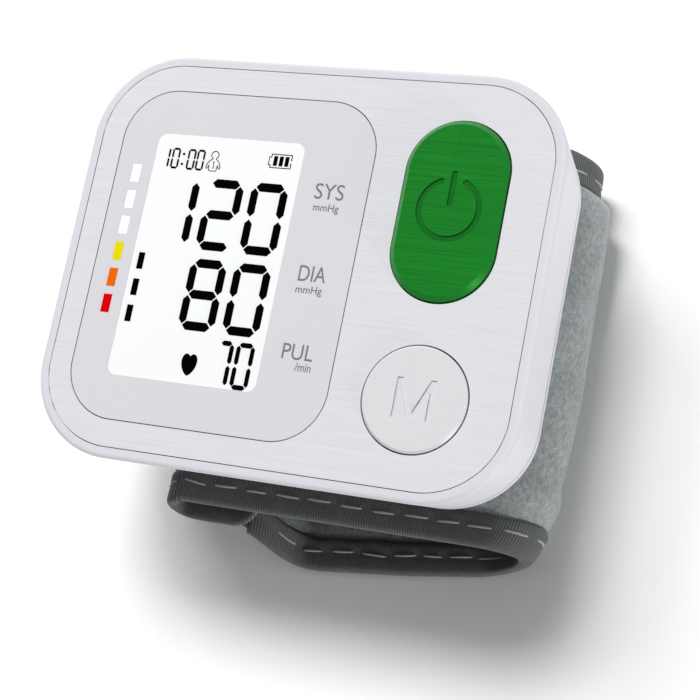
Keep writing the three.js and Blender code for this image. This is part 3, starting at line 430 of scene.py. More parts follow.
class Bench:
    """Millimetre workbench whose origin is the middle of the face."""

    def __init__(self) -> None:
        """Find the middle of the face, and the point of the table under it."""
        low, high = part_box("face_plate")
        self.face = Vector(((low.x + high.x) / 2, (low.y + high.y) / 2, high.z))
        self.table = Vector((self.face.x, self.face.y, 0))

    def settle(
        self, piece: Piece, body: str, slot: str, *finishes: "Finish", nodes: Sequence[str] = ()
    ) -> None:
        """Bring a finished piece from the bench to its place in the frame, dress it, hide the
        nodes it stands for and hang it on its body.

        Args:
            piece: The piece.
            body: The body that it rides.
            slot: The slot that its look belongs to; not used.
            finishes: One finish for each of its material slots.
            nodes: The frame's nodes that it stands for.
        """
        wipe_uvs(piece)
        work_on(piece)
        piece.location = self.face
        fix_place(piece, (MM, MM, MM))
        enter(piece, slot, *finishes, nodes=nodes)
        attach(piece, body)

    def fetch(self, node: str) -> Piece:
        """Copy a node of the frame on to the bench, merged into a proper mesh.

        Args:
            node: Name of the node.

        Returns:
            The copy.
        """
        twin = copy_of(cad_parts[node], f"{node}_inside")
        twin.data.materials.clear()
        twin.data.transform(Matrix.Scale(1 / MM, 4) @ Matrix.Translation(-self.face))
        with editing(twin):
            bpy.ops.mesh.select_mode(type="VERT")
            face_out(merge=1e-4)
        wipe_uvs(twin)
        return twin


# --- Materials ---------------------------------------------------------------


class Wire:
    """A number that changes over a surface, for use in sums."""

    def __init__(self, board: "Board", socket: bpy.types.NodeSocket) -> None:
        """Keep the socket and the board that it belongs to."""
        self.board = board
        self.socket = socket

    def _sum(self, operation: str, first: Any, second: Any = 0.0) -> "Wire":
        """Add one Math node and return what it gives."""
        return self.board.node("ShaderNodeMath", {"operation": operation}, {0: first, 1: second})

    def __add__(self, other: Any) -> "Wire":
        """Return self + other."""
        return self._sum("ADD", self, other)

    __radd__ = __add__

    def __sub__(self, other: Any) -> "Wire":
        """Return self - other."""
        return self._sum("SUBTRACT", self, other)

    def __rsub__(self, other: Any) -> "Wire":
        """Return other - self."""
        return self._sum("SUBTRACT", other, self)

    def __mul__(self, other: Any) -> "Wire":
        """Return self * other."""
        return self._sum("MULTIPLY", self, other)

    __rmul__ = __mul__

    def above(self, other: Any) -> "Wire":
        """Return 1 where self is greater than other, else 0."""
        return self._sum("GREATER_THAN", self, other)

    def larger(self, other: Any) -> "Wire":
        """Return the larger one of self and other."""
        return self._sum("MAXIMUM", self, other)

    def wave(self) -> "Wire":
        """Return a wave between 0 and 1, from self as an angle."""
        return self._sum("SINE", self) * 0.5 + 0.5

    def ramp(self, low: float, high: float) -> "Wire":
        """Make a soft step.

        Args:
            low: Where it is still 0.
            high: Where it has come to 1.

        Returns:
            0 below low, 1 above high, and a soft passage in between.
        """
        return self.board.node(
            "ShaderNodeMapRange",
            {"interpolation_type": "SMOOTHSTEP", "clamp": True},
            {0: self, 1: low, 2: high, 3: 0.0, 4: 1.0},
        )


class Board:
    """The node tree of one material, with its main shader ready to be wired."""

    def __init__(self, name: str) -> None:
        """Start a material with an empty tree and a Principled shader.

        Args:
            name: Name of the material.
        """
        self.material = bpy.data.materials.new(name)
        self.material.use_nodes = True
        self.tree = self.material.node_tree
        self.tree.nodes.clear()
        self.shader = self.tree.nodes.new("ShaderNodeBsdfPrincipled")
        end = self.tree.nodes.new("ShaderNodeOutputMaterial")
        self.tree.links.new(self.shader.outputs[0], end.inputs[0])

    def plug(self, target: bpy.types.NodeSocket, value: Any) -> None:
        """Set a socket to a value or link it to a wire.

        Args:
            target: The socket.
            value: A wire, a number or a colour.
        """
        if isinstance(value, Wire):
            self.tree.links.new(value.socket, target)
        elif target.type == "RGBA":
            target.default_value = (*value, 1)
        else:
            target.default_value = value

    def node(
        self, kind: str, settings: dict[str, Any], sockets: dict[int | str, Any],
        output: int | str = 0,
    ) -> Wire:
        """Add one node.

        Args:
            kind: Blender's name of the node type.
            settings: Its own settings, such as an operation.
            sockets: Values and wires of its inputs.
            output: Which of its outputs is wanted.

        Returns:
            A wire from that output.
        """
        made = self.tree.nodes.new(kind)
        for key, value in settings.items():
            setattr(made, key, value)
        for key, value in sockets.items():
            self.plug(made.inputs[key], value)
        return Wire(self, made.outputs[output])

    def set(self, **values: Any) -> None:
        """Set or link sockets of the shader, named with _ for a blank."""
        for key, value in values.items():
            self.plug(self.shader.inputs[key.replace("_", " ")], value)

    def point(self, stretch: Point = (1, 1, 1)) -> Wire:
        """Find the place on the piece in millimetres.

        Args:
            stretch: How much each direction is stretched in the pattern.

        Returns:
            The place, ready for a texture.
        """
        place = self.node("ShaderNodeTexCoord", {}, {}, "Object")
        scale = tuple(share / MM for share in stretch)
        return self.node("ShaderNodeMapping", {}, {"Vector": place, "Scale": scale})

    def axis(self, place: Wire, letter: str) -> Wire:
        """Return one direction, "X", "Y" or "Z", of a place."""
        return self.node("ShaderNodeSeparateXYZ", {}, {0: place}, letter)

    def noise(
        self, scale: float, detail: float = 2, rough: float = 0.5, stretch: Point = (1, 1, 1)
    ) -> Wire:
        """Return soft noise between 0 and 1.

        Args:
            scale: Features in one millimetre.
            detail: How many finer layers it has.
            rough: Strength of the finer layers.
            stretch: How much each direction is stretched.

        Returns:
            The noise.
        """
        values = {
            "Vector": self.point(stretch), "Scale": scale, "Detail": detail, "Roughness": rough,
        }
        return self.node("ShaderNodeTexNoise", {"noise_dimensions": "3D"}, values)

    def cells(self, **values: Any) -> Wire:
        """Return the distance to the nearest of many scattered points."""
        return self.node("ShaderNodeTexVoronoi", {"feature": "F1"}, values)

    def blend(self, share: Any, first: Any, second: Any) -> Wire:
        """Mix two colours.

        Args:
            share: 0 gives the first colour, 1 the second.
            first: A colour or a wire.
            second: A colour or a wire.

        Returns:
            The colour.
        """
        return self.node(
            "ShaderNodeMix", {"data_type": "RGBA"}, {0: share, 6: first, 7: second}, 2
        )

    def tones(self, share: Wire, colour: Colour, low: float, high: float = 1.0) -> Wire:
        """Return a colour between two tones of itself, given as factors."""
        return self.blend(share, shade(colour, low), shade(colour, high))

    def relief(self, height: Wire, depth: float, strength: float = 1.0) -> None:
        """Let a height change the way the surface faces.

        Args:
            height: The height, from 0 to 1.
            depth: What a height of 1 stands for, in millimetres.
            strength: Share of the effect.
        """
        values = {"Height": height, "Distance": depth * MM, "Strength": strength}
        self.set(Normal=self.node("ShaderNodeBump", {}, values, "Normal"))


def shade(colour: Colour, factor: float) -> Colour:
    """Return a colour made lighter or darker by a factor."""
    return tuple(min(1.0, part * factor) for part in colour)


def rgb(*parts: int) -> Colour:
    """Return the linear colour of red, green and blue of a screen, from 0 to 255."""
    shares = [part / 255 for part in parts]
    return tuple(s / 12.92 if s <= 0.04045 else ((s + 0.055) / 1.055) ** 2.4 for s in shares)


@dataclass(frozen=True)
class Finish:
    """What all finishes have in common: a name, a colour and how dull it is."""

    name: str
    colour: Colour
    roughness: float = 0.5

    def paint(self, board: Board) -> None:
        """Wire the material; each finish has its own way."""
        raise NotImplementedError

    @cache
    def made(self) -> bpy.types.Material:
        """Make the material of this finish at the first call.

        Returns:
            The material.
        """
        board = Board(self.name)
        self.paint(board)
        return board.material


@dataclass(frozen=True)
class Moulded(Finish):
    """Moulded plastic with a fine spark-eroded grain."""

    grain: float = 0.012
    cloudy: float = 0.02

    def paint(self, board: Board) -> None:
        """Wire slight clouds of colour and a fine grain.

        Args:
            board: The material's node tree.
        """
        clouds = board.noise(0.09, 3)
        fine = board.noise(6.0, 3, 0.6)
        board.set(
            Base_Color=board.tones(clouds, self.colour, 1 - self.cloudy, 1 + self.cloudy),
            Roughness=self.roughness - 0.05 + 0.1 * fine,
            Specular_IOR_Level=0.3,
        )
        board.relief(fine, self.grain)


@dataclass(frozen=True)
class Brushed(Finish):
    """A lacquered surface brushed along the width of the face."""

    streak: float = 0.055
    metallic: float = 0.1
    groove: float = 0.004
    coat: float = 0.05

    def paint(self, board: Board) -> None:
        """Wire long and short streaks that run left to right.

        Args:
            board: The material's node tree.
        """
        long = board.noise(1.0, 4, 0.65, (0.035, 5.5, 5.5))
        short = board.noise(1.0, 3, 0.6, (0.13, 11.0, 11.0))
        wide = board.noise(1.0, 2, 0.5, (0.02, 0.6, 0.6))
        streaks = long * 0.5 + short * 0.44 + wide * 0.06
        crisp = streaks.ramp(0.34, 0.66)
        board.set(
            Base_Color=board.tones(crisp, self.colour, 1 - self.streak, 1 + self.streak),
            Roughness=self.roughness - 0.08 + 0.16 * (1 - crisp),
            Metallic=self.metallic,
            Coat_Weight=self.coat,
            Coat_Roughness=0.2,
            Specular_IOR_Level=0.25,
        )
        board.relief(streaks, self.groove)


@dataclass(frozen=True)
class Printed(Finish):
    """A printed film under a clear satin cover."""

    uneven: float = 0.012

    def paint(self, board: Board) -> None:
        """Wire a nearly even colour with faint streaks.

        Args:
            board: The material's node tree.
        """
        faint = board.noise(1.0, 3, 0.5, (0.05, 4.0, 4.0))
        clouds = board.noise(0.06, 2)
        tone = faint * 0.5 + clouds * 0.5
        board.set(
            Base_Color=board.tones(tone, self.colour, 1 - self.uneven, 1 + self.uneven),
            Roughness=self.roughness - 0.03 + 0.06 * clouds,
            Specular_IOR_Level=0.2,
        )
        board.relief(faint, 0.0015)


@dataclass(frozen=True)
class Lit(Finish):
    """A screen that glows evenly from behind."""

    glow: float = 0.25

    def paint(self, board: Board) -> None:
        """Wire a white that hardly changes, and its glow.

        Args:
            board: The material's node tree.
        """
        fine = board.noise(7.0)
        board.set(
            Base_Color=board.tones(fine, self.colour, 0.985),
            Roughness=self.roughness + 0.04 * fine,
            Emission_Color=self.colour,
            Emission_Strength=self.glow,
            Specular_IOR_Level=0.15,
        )


@dataclass(frozen=True)
class Ink(Finish):
    """Printing ink or a dark segment of the screen."""

    def paint(self, board: Board) -> None:
        """Wire a colour with the slight unevenness of ink.

        Args:
            board: The material's node tree.
        """
        fine = board.noise(9.0)
        board.set(
            Base_Color=board.tones(fine, self.colour, 0.92, 1.06),
            Roughness=self.roughness + 0.08 * fine,
            Specular_IOR_Level=0.02,
        )


@dataclass(frozen=True)
class Fleece(Finish):
    """Short brushed loop fabric that a hook patch can grip."""

    light: Colour = (0.3, 0.33, 0.33)
    sheen: float = 0.45

    def paint(self, board: Board) -> None:
        """Wire blotches, combed tufts and single fibres.

        Args:
            board: The material's node tree.
        """
        cloud = board.noise(0.12, 3, 0.55)
        blotch = board.noise(0.5, 4, 0.68, (1.0, 0.8, 1.0))
        tuft = board.noise(1.5, 4, 0.72, (1.0, 0.6, 1.0))
        fibre = board.noise(5.0, 3, 0.75, (1.0, 0.7, 1.0))
        speck = board.noise(6.5, 2, 0.6).ramp(0.6, 0.72)
        tone = (cloud * 0.08 + blotch * 0.14 + tuft * 0.42 + fibre * 0.36).ramp(0.3, 0.7)
        colour = board.blend(tone, self.colour, self.light)
        board.set(
            Base_Color=board.blend(speck * 0.25, colour, shade(self.light, 1.5)),
            Roughness=0.92 + 0.06 * fibre,
            Sheen_Weight=self.sheen,
            Sheen_Roughness=0.45,
            Sheen_Tint=(0.8, 0.86, 0.87),
            Specular_IOR_Level=0.2,
        )
        board.relief(fibre * 0.5 + tuft * 0.5, 0.14, 0.8)


@dataclass(frozen=True)
class Woven(Finish):
    """Plain woven cloth, by threads along and across the piece."""

    along: float = 0.42
    across: float = 0.42
    depth: float = 0.05
    # Lighter tone: painted highlight on the thread crowns, and random worn patches.
    light: Colour = (0.1, 0.1, 0.1)

    def paint(self, board: Board) -> None:
        """Wire crossing threads with a painted highlight on their crowns, and random worn and
        fuzzy tone.

        Args:
            board: The material's node tree.
        """
        place = board.node("ShaderNodeUVMap", {"uv_map": "weave"}, {})
        warp = (board.axis(place, "X") * (math.tau / self.along)).wave()
        weft = (board.axis(place, "Y") * (math.tau / self.across)).wave()
        ribs = warp * 0.86 + weft * 0.14
        worn = board.noise(0.35, 3, 0.6)
        fuzz = board.noise(5.0, 3, 0.7)
        # The ribs give the thread crowns a painted highlight; worn and fuzz vary the tone at
        # random.
        tone = (ribs * 0.5 + worn * 0.3 + fuzz * 0.2).ramp(0.25, 0.85)
        board.set(
            Base_Color=board.blend(tone, self.colour, self.light),
            Roughness=self.roughness + 0.1 * fuzz,
            Sheen_Weight=0.12,
            Sheen_Roughness=0.5,
            Specular_IOR_Level=0.25,
        )
        board.relief(ribs * 0.75 + fuzz * 0.25, self.depth)


@dataclass(frozen=True)
class Twisted(Finish):
    """Sewing thread."""

    turn: float = 0.34

    def paint(self, board: Board) -> None:
        """Wire the twist of the plies, with painted shade in the grooves between them.

        Args:
            board: The material's node tree.
        """
        place = board.point()
        x, y, z = (board.axis(place, letter) for letter in "XYZ")
        twist = ((x + y + z) * (math.tau / self.turn)).wave()
        # Painted shade in the grooves between the plies.
        board.set(Base_Color=board.tones(twist, self.colour, 0.6), Roughness=self.roughness)
        board.relief(twist, 0.05)


@dataclass(frozen=True)
class Metal(Finish):
    """Bare or plated metal."""

    def paint(self, board: Board) -> None:
        """Wire fine scratches and slight stains.

        Args:
            board: The material's node tree.
        """
        scratch = board.noise(1.0, 3, 0.7, (0.4, 6.0, 6.0))
        board.set(
            Base_Color=board.tones(board.noise(0.3, 3), self.colour, 0.88),
            Metallic=1.0,
            Roughness=self.roughness + 0.18 * scratch,
        )
        board.relief(scratch, 0.004)


@dataclass(frozen=True)
class CircuitBoard(Finish):
    """Green board with copper tracks under the varnish."""

    track: Colour = (0.05, 0.25, 0.1)
    copper: Colour = (0.6, 0.45, 0.2)

    def paint(self, board: Board) -> None:
        """Wire a maze of tracks and rows of bare pads.

        Args:
            board: The material's node tree.
        """
        place = board.point((1, 1, 0))
        lines = board.node(
            "ShaderNodeTexBrick",
            {"offset": 0.5, "squash": 0.6},
            {"Vector": place, "Scale": 0.35, "Mortar Size": 0.06, "Mortar Smooth": 0.1},
            "Fac",
        )
        bare = 1 - board.cells(Vector=place, Scale=0.5).ramp(0.14, 0.18)
        varnish = board.blend(lines, self.colour, self.track)
        board.set(
            Base_Color=board.blend(bare, varnish, self.copper),
            Metallic=bare * 0.8,
            Roughness=self.roughness + 0.1 * lines,
        )
        board.relief(lines, 0.03)


@dataclass(frozen=True)
class CellWrap(Finish):
    """Plain two-coloured sleeve of a battery cell with steel ends. Millimetres."""

    second: Colour = (0.02, 0.02, 0.025)
    bare: Colour = (0.55, 0.56, 0.58)
    change: float = 10.0
    sleeve: Place = (-21.2, 21.4)

    def paint(self, board: Board) -> None:
        """Wire the two colours along the cell and its bare ends.

        Args:
            board: The material's node tree.
        """
        x = board.axis(board.point(), "X")
        fine = board.noise(2.0)
        ends = x.above(self.sleeve[1]).larger(1 - x.above(self.sleeve[0]))
        colour = board.blend(x.above(self.change), self.colour, self.second)
        board.set(
            Base_Color=board.blend(ends, colour, self.bare),
            Metallic=ends * 0.9,
            Roughness=self.roughness + 0.08 * fine,
            Coat_Weight=0.4,
        )
        board.relief(fine, 0.01)


@dataclass(frozen=True)
class HookTape(Finish):
    """Field of stiff little hooks."""

    def paint(self, board: Board) -> None:
        """Wire dense pips with a painted highlight on their tips and painted shade between them.

        Args:
            board: The material's node tree.
        """
        pips = 1 - board.cells(Vector=board.point(), Scale=1.3, Randomness=0.35).ramp(0.1, 0.5)
        # Painted highlight on the hook tips, painted shade on the ground between them.
        board.set(Base_Color=board.tones(pips, self.colour, 0.5, 2.2), Roughness=self.roughness)
        board.relief(pips, 0.3)


class Palette:
    """All finishes of the monitor."""

    shell = Moulded("shell_plastic", rgb(209, 208, 214), 0.42)
    plate = Brushed("brushed_plate", rgb(219, 219, 223), 0.36)
    panel = Printed("display_panel_film", rgb(206, 205, 210), 0.34)
    screen = Lit("lit_screen", (0.8, 0.82, 0.815), 0.3, 0.04)
    segment = Ink("screen_segment", (0.001, 0.001, 0.001), 0.6)
    grey_ink = Ink("grey_ink", rgb(118, 119, 128), 0.45)
    white_ink = Ink("white_ink", (0.95, 0.95, 0.95), 0.4)
    yellow_ink = Ink("yellow_ink", rgb(219, 208, 3), 0.4)
    orange_ink = Ink("orange_ink", rgb(224, 98, 6), 0.4)
    red_ink = Ink("red_ink", rgb(206, 1, 7), 0.4)
    power = Brushed("brushed_green", rgb(20, 135, 37), 0.3, 0.24, 0.34, 0.012, 0.4)
    # Darker green of the engraved ring: painted shade in the engraving.
    power_mark_painted_shade = Brushed("brushed_green_painted_shade", rgb(19, 114, 34), 0.36, 0.12, 0.3, 0.008, 0.3)
    memory = Brushed("brushed_key", rgb(217, 217, 220), 0.38, 0.03)
    memory_mark = Brushed("brushed_key_mark", rgb(218, 218, 222), 0.42, 0.03)
    fleece = Fleece("fleece", rgb(102, 108, 108), 0.95, rgb(172, 178, 178))
    lining = Fleece("lining_cloth", rgb(68, 72, 66), 0.95, rgb(116, 121, 114), 0.2)
    # Its second colour is a painted highlight on the thread crowns, and random worn patches.
    binding = Woven("binding_tape", rgb(64, 67, 65), 0.75, 0.46, 0.36, 0.035, rgb(102, 106, 104))
    thread = Twisted("thread", rgb(172, 175, 173), 0.7)
    hook = HookTape("hook_tape", rgb(44, 45, 47), 0.6)
    bladder = Moulded("bladder_film", rgb(40, 41, 44), 0.5, 0.03, 0.1)
    grey_plastic = Moulded("grey_plastic", rgb(150, 152, 156), 0.5, 0.02)
    white_plastic = Moulded("inner_plastic", rgb(205, 206, 210), 0.5, 0.02)
    black_plastic = Moulded("black_plastic", rgb(34, 35, 38), 0.45, 0.02, 0.08)
    silicone = Moulded("silicone", rgb(214, 216, 218), 0.62, 0.01, 0.03)
    rubber = Moulded("contact_rubber", rgb(60, 62, 66), 0.7, 0.02, 0.08)
    steel = Metal("steel", (0.62, 0.63, 0.65), 0.24)
    board = CircuitBoard("circuit_board", rgb(22, 84, 48), 0.4)
    cell = CellWrap("cell_wrap", rgb(196, 160, 60), 0.3)


# --- Housing -----------------------------------------------------------------


@dataclass
class Housing:
    """Front shell, rear shell, battery lid and face plate. Millimetres below the face."""

    bench: Bench
    half: Place = (42.0, 35.4)
    corner: float = 15.2
    depth: float = 21.2
    split: float = 14.0
    seam: float = 0.25
    edge: float = 1.0
    draft: Place = (0.75, 2.0)
    back_round: Place = (4.5, 4.0)
    back_facets: int = 10
    skin: float = 1.3
    floor: float = 1.2
    wall: float = 1.6
    web: float = 2.2
    seat: float = 1.3
    rib_inset: float = 1.0
    plate_size: Place = (80.0, 66.8)
    plate_corner: float = 13.2
    plate_thickness: float = 1.0
    plate_seam: float = 0.15
    lid_width: Place = (-26.2, 28.7)
    lid_height: Place = (8.6, 19.5)
    lid_near: float = 25.8
    lid_air: float = 0.3
    lid_floor: float = 1.5
    lid_limit: float = 1.4
    grip_middle: Place = (1.25, 14.15)
    grip_pitch: float = 1.9
    grip_radius: float = 0.5
    grip_length: float = 12.0
    grip_shorter: float = 1.6
    grip_out: float = 0.12
    boss: Place = (35.6, 23.0)
    recess: Place = (2.1, 1.8)  # radius and depth
    bore: Place = (1.1, 6.9)
    stud: Place = (27.0, 6.0)
    stud_span: float = 14.0
    stud_hole: float = 1.7
    nipple: Place = (-12.0, -2.0)
    nipple_hole: float = 2.3
    hole_end: float = 17.8

    def outside(self, name: str, inset: float, top: float, bottom: float) -> Piece:
        """Model the outside of the housing, or a smaller copy that fits in it.

        Args:
            name: Name of the body.
            inset: How far its surface lies inside the real one.
            top: Depth of its upper face.
            bottom: Depth of its lower face, at most the whole depth less the inset.

        Returns:
            The body, rounded at the back if it reaches so far.
        """
        half = [side - inset for side in self.half]
        first = min(self.split, bottom)
        size = (2 * half[0], 2 * half[1])
        body = slab(name, size, self.corner - inset, MIDDLE, -top, -first, 28)
        part = (first - top) / (self.split - top)
        taper(body, -first, [1 - drop / side * part for drop, side in zip(self.draft, half)])
        if bottom <= self.split:
            return body
        ends = [side - drop for drop, side in zip(self.draft, half)]
        level, old = self.split, ends
        for step in range(1, self.back_facets + 1):
            angle = step / self.back_facets * QUARTER
            new = [end - r * (1 - math.cos(angle)) for end, r in zip(ends, self.back_round)]
            down = self.split + (bottom - self.split) * math.sin(angle) - level
            taper(body, -level, [a / b for a, b in zip(new, old)], down)
            level, old = level + down, new
        return body

    def lid_space(self, air: float = 0.0) -> Piece:
        """Model the block that the battery lid takes out of the wall.

        Args:
            air: How much wider and higher it is than the opening.

        Returns:
            The block.
        """
        low = (self.lid_width[0] - air, self.lid_near, -self.lid_height[1] - air)
        high = (self.lid_width[1] + air, self.half[1] + BELOW, -self.lid_height[0] + air)
        return box("lid_space", low, high)

    def fill(self, skin: Piece, node: str, limit: Piece) -> None:
        """Join to a skin the ribs and posts that the frame's node has inside a limit.

        Args:
            skin: The skin.
            node: Name of the node.
            limit: Body round what is kept of the node.
        """
        inside = self.bench.fetch(node)
        combine(inside, limit, Cut.SHARED)
        combine(skin, inside, Cut.TOGETHER)

    def make_front(self) -> None:
        """Model the front shell: a smooth skin round the frame's own inner ribs and posts."""
        shell = self.outside("front_shell_skin", 0.0, 0.0, self.split)
        round_off(shell, 0.0, self.edge, 8)
        size, corner = wider(self.plate_size, self.plate_seam), self.plate_corner + self.plate_seam
        cut_away(
            shell,
            slab("pocket", size, corner, MIDDLE, ABOVE, -self.seat),
            self.outside("hollow", self.skin, self.seat, self.split + 1e-3),
        )
        limit = self.outside("limit", self.rib_inset, self.seat - 0.05, self.split - 0.02)
        self.fill(shell, "front_shell", limit)
        cut_away(shell, self.lid_space())
        smooth(shell, 0.06, 34)
        self.bench.settle(shell, "housing", "shell", Palette.shell, nodes=["front_shell"])

    def make_rear(self) -> None:
        """Model the rear shell with its screw recesses and rivet holes."""
        shell = self.outside("rear_shell_skin", 0.0, self.web, self.depth)
        cut_away(
            shell,
            box("above", (-60, -60, -self.split - self.seam), (60, 60, 10)),
            self.outside("hollow", self.skin, self.web - 1, self.depth - self.floor),
        )
        limit = self.outside("limit", self.rib_inset, self.web - 1, self.depth - self.rib_inset)
        self.fill(shell, "rear_shell", limit)
        cut_away(shell, self.lid_space())
        start = -self.depth - BELOW
        for side in (-1, 1):
            for end in (-1, 1):
                place = (side * self.boss[0], end * self.boss[1])
                cut_away(
                    shell,
                    peg("recess", place, self.recess[0], start, self.recess[1] - self.depth),
                    peg("bore", place, self.bore[0], start, self.bore[1] - self.depth, 24),
                )
            for down in (0, self.stud_span):
                place = (side * self.stud[0], self.stud[1] - down)
                hole = peg("rivet_hole", place, self.stud_hole, start, -self.hole_end, 32)
                cut_away(shell, hole)
        hole = peg("nipple_hole", self.nipple, self.nipple_hole, start, -self.hole_end, 32)
        cut_away(shell, hole)
        smooth(shell, 0.06, 34)
        self.bench.settle(shell, "housing", "shell", Palette.shell, nodes=["rear_shell"])

    def make_lid(self) -> None:
        """Model the battery lid: a piece of the wall with grip grooves and its two runners."""
        lid = self.outside("battery_lid_skin", 0.0, self.web, self.depth)
        combine(lid, self.lid_space(-self.lid_air), Cut.SHARED)
        top, inset = self.web - 1, self.wall - self.lid_air
        cut_away(lid, self.outside("hollow", self.wall, top, self.depth - self.lid_floor))
        limit = self.outside("limit", inset, top, self.depth - self.lid_limit)
        self.fill(lid, "battery_lid", limit)
        for step in range(-2, 3):
            down = self.grip_middle[1] + step * self.grip_pitch
            y = self.half[1] - self.draft[1] * down / self.split + self.grip_out
            place = (self.grip_middle[0], y, -down)
            length = self.grip_length - self.grip_shorter * abs(step)
            cut_away(lid, rod("groove", place, self.grip_radius, length, 24, lying=True))
        smooth(lid, 0.08, 34)
        self.bench.settle(lid, "lid", "shell", Palette.shell, nodes=["battery_lid"])

    def make_plate(self, keys: "Keys", display: "Display") -> None:
        """Model the brushed face plate with its openings.

        Args:
            keys: The keys, for their openings.
            display: The display, for the opening round its panel.
        """
        thickness = -self.plate_thickness
        plate = slab(
            "brushed_face_plate", self.plate_size, self.plate_corner, MIDDLE, 0.0, thickness, 32
        )
        seam = self.plate_seam
        openings = [(display.size, display.corner, display.middle, seam, 28)]
        for key in (keys.power, keys.memory):
            openings.append((key.size, key.size[0] / 2, key.middle, key.air, 32))
        for size, corner, middle, air, segments in openings:
            cutter = slab(
                "opening", wider(size, air), corner + air, middle, ABOVE, -BELOW, segments
            )
            cut_away(plate, cutter)
        smooth(plate, 0.1, 40, 3)
        self.bench.settle(plate, "housing", "face_plate", Palette.plate, nodes=["face_plate"])


# --- Keys --------------------------------------------------------------------


@dataclass
class Key:
    """One key. Millimetres above the face."""

    name: str
    node: str
    body: str
    middle: Place
    size: Place
    proud: float
    chamfer: float
    travel: float
    air: float = 0.25
    flange: float = 0.6
    flange_depth: float = 2.5
    stem: float = 1.6
    stem_bottom: float = -5.2
    engraving: float = 0.25
    ring_inside: float = 4.7

    @property
    def cut(self) -> Place:
        """Return the heights between which the mark's cutters stand."""
        return self.proud - self.engraving, self.proud + ABOVE

    def blank(self) -> Piece:
        """Model the key without its mark.

        Returns:
            The key with its chamfered top, flange and stem.
        """
        under = -self.flange_depth
        radius = self.size[0] / 2
        cap = slab(self.name, self.size, radius, self.middle, self.proud, under - 0.2, 36)
        round_off(cap, self.proud, self.chamfer, 1)
        size, radius = wider(self.size, self.flange), radius + self.flange
        for part in (
            slab("flange", size, radius, self.middle, under, under - 1.0, 32),
            peg("stem", self.middle, self.stem, self.stem_bottom, under - 0.5),
        ):
            combine(cap, part, Cut.TOGETHER)
        return cap

    def engrave(self, piece: Piece, cutters: Sequence[Piece]) -> None:
        """Cut a mark into the key, after parting its wide top face.

        Args:
            piece: The key.
            cutters: Bodies that reach to the depth of the engraving.
        """
        with editing(piece):
            for across in ((1, 0, 0), (0, 1, 0)):
                bpy.ops.mesh.select_all(action="SELECT")
                bpy.ops.mesh.bisect(plane_co=(*self.middle, 0), plane_no=across)
        cut_away(piece, *cutters)

    def colour_mark(self, piece: Piece, rim: float = 2.0) -> None:
        """Give the floor and walls of the engraving the second material slot, which on the power
        key is painted shade.

        Args:
            piece: The key.
            rim: Width of the strip along its outline that has no mark.
        """
        low, high = self.cut[0] - 0.01, self.proud - 0.04
        for face in piece.data.polygons:
            aside = [
                abs(at - middle) < side / 2 - rim
                for at, middle, side in zip(face.center, self.middle, self.size)
            ]
            # On the power key this slot is painted shade in the engraving.
            if all(aside) and low < face.center.z < high:
                face.material_index = 1


